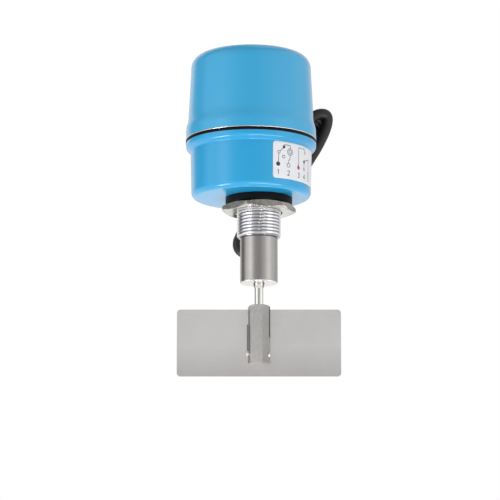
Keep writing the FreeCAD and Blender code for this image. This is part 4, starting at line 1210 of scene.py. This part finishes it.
def make_floor():
    """Pale floor under the object, which reflections see as a white studio floor."""
    floor_size, floor_z = 60, -2.2
    bpy.ops.mesh.primitive_grid_add(
        x_subdivisions=2, y_subdivisions=2, size=floor_size, location=(0, 0, floor_z)
    )
    floor = bpy.context.object
    floor.name = "floor"
    material = surface("floor", (0.8, 0.8, 0.8), 0.7, tone=0.01, cloud=2, grain=20, bump=0.01)
    tree = material.node_tree
    white = tree.nodes.new("ShaderNodeEmission")
    white.inputs["Strength"].default_value = 1.0
    mirrored = tree.nodes.new("ShaderNodeLightPath").outputs["Is Glossy Ray"]
    shown = chosen(tree, mirrored, tree.nodes["Principled BSDF"].outputs[0], white.outputs[0])
    link(tree, shown, tree.nodes["Material Output"].inputs["Surface"])
    finish_with(floor, material)


def make_light(name, azimuth, elevation, distance, width, height, radiance):
    """A soft box that faces the frame's origin."""
    data = bpy.data.lights.new(name, "AREA")
    data.shape = "RECTANGLE"
    data.size = width
    data.size_y = height
    data.energy = math.pi * width * height * radiance
    lamp = add_object(name, data)
    face_point(lamp, Vector((0, 0, 0)), azimuth, elevation, distance)
    lamp.visible_camera = False


# Soft boxes: azimuth (90 is the object's right) and elevation in degrees, distance, width and height in
# metres, and radiance
light_boxes = {
    "left_box": (-62, 4, 1.6, 1.6, 0.9, 0.3),
    "left_core": (-54, 4, 1.5, 0.5, 0.9, 0.45),
    "right_box": (62, 4, 1.6, 0.9, 0.9, 0.45),
    "low_left": (-69, -46, 0.8, 0.36, 0.15, 13),
    "low_right": (35, -50, 0.8, 0.8, 0.2, 5),
    "top_box": (150, 74, 1.8, 0.8, 0.8, 0.6),
}


# Brightness of the studio's walls as reflections see it, by degrees round from the camera's side
studio_walls = [
    (-180, 0.5), (-160, 0.9), (-144, 0.95), (-128, 0.25), (-108, 0.15), (-92, 0.8), (-60, 0.95), (-38, 0.85),
    (-20, 0.5), (8, 0.45), (24, 0.7), (42, 0.95), (92, 1.0), (110, 0.9), (126, 0.64), (156, 0.8), (180, 0.5),
]


def background(tree, strength):
    made = tree.nodes.new("ShaderNodeBackground")
    made.inputs["Strength"].default_value = strength
    made.inputs["Color"].default_value = (1, 1, 1, 1)
    return made


def make_world():
    """Even light all round; to the camera it is white, and reflections see a studio's pale walls."""
    world = bpy.data.worlds.new("studio")
    bpy.context.scene.world = world
    world.use_nodes = True
    tree = world.node_tree
    tree.nodes.clear()
    even_strength, ceiling_level, ceiling_start, ceiling_end = 0.77, 0.25, 0.72, 0.96
    even = background(tree, even_strength)
    white = background(tree, 1.0)
    mirrored = background(tree, 1.0)
    x, y, z = axes(tree, tree.nodes.new("ShaderNodeTexCoord").outputs["Generated"])
    turn = calculated(tree, "ARCTAN2", x, calculated(tree, "MULTIPLY", y, -1.0))
    share = ranged(tree, turn, 0, 1, -math.pi, math.pi)
    stops = [((degrees + 180) / 360, (level, level, level)) for degrees, level in studio_walls]
    overhead = ranged(tree, z, 1.0, ceiling_level, ceiling_start, ceiling_end)
    link(tree, darkened(tree, ramp(tree, share, stops), overhead), mirrored.inputs["Color"])
    rays = tree.nodes.new("ShaderNodeLightPath")
    unseen = chosen(tree, rays.outputs["Is Glossy Ray"], even.outputs[0], mirrored.outputs[0])
    shown = chosen(tree, rays.outputs["Is Camera Ray"], unseen, white.outputs[0])
    link(tree, shown, tree.nodes.new("ShaderNodeOutputWorld").inputs["Surface"])


def main():
    bpy.context.scene.view_settings.view_transform = "Standard"
    make_camera()
    materials = make_materials()
    for part in frame["record"]["subparts"]:
        finish = node_finish.get(part["node"], part["material_slot"])
        finish_with(nodes[part["node"]], materials[finish])
    make_cable(materials)
    make_cup(materials)
    make_seam(materials)
    make_seal_cover(materials)
    make_shaft(materials)
    make_locknut(materials)
    make_washer(materials)
    make_neck(materials)
    make_label()
    make_diagram()
    make_welds()
    make_hub(materials)
    make_return_spring(materials)
    make_motor_leads()
    make_inner_leads()
    for node in screw_recesses:
        recess_screws(node, materials["zinc_steel"])
    make_floor()
    for name, box in light_boxes.items():
        make_light(name, *box)
    make_world()


main()
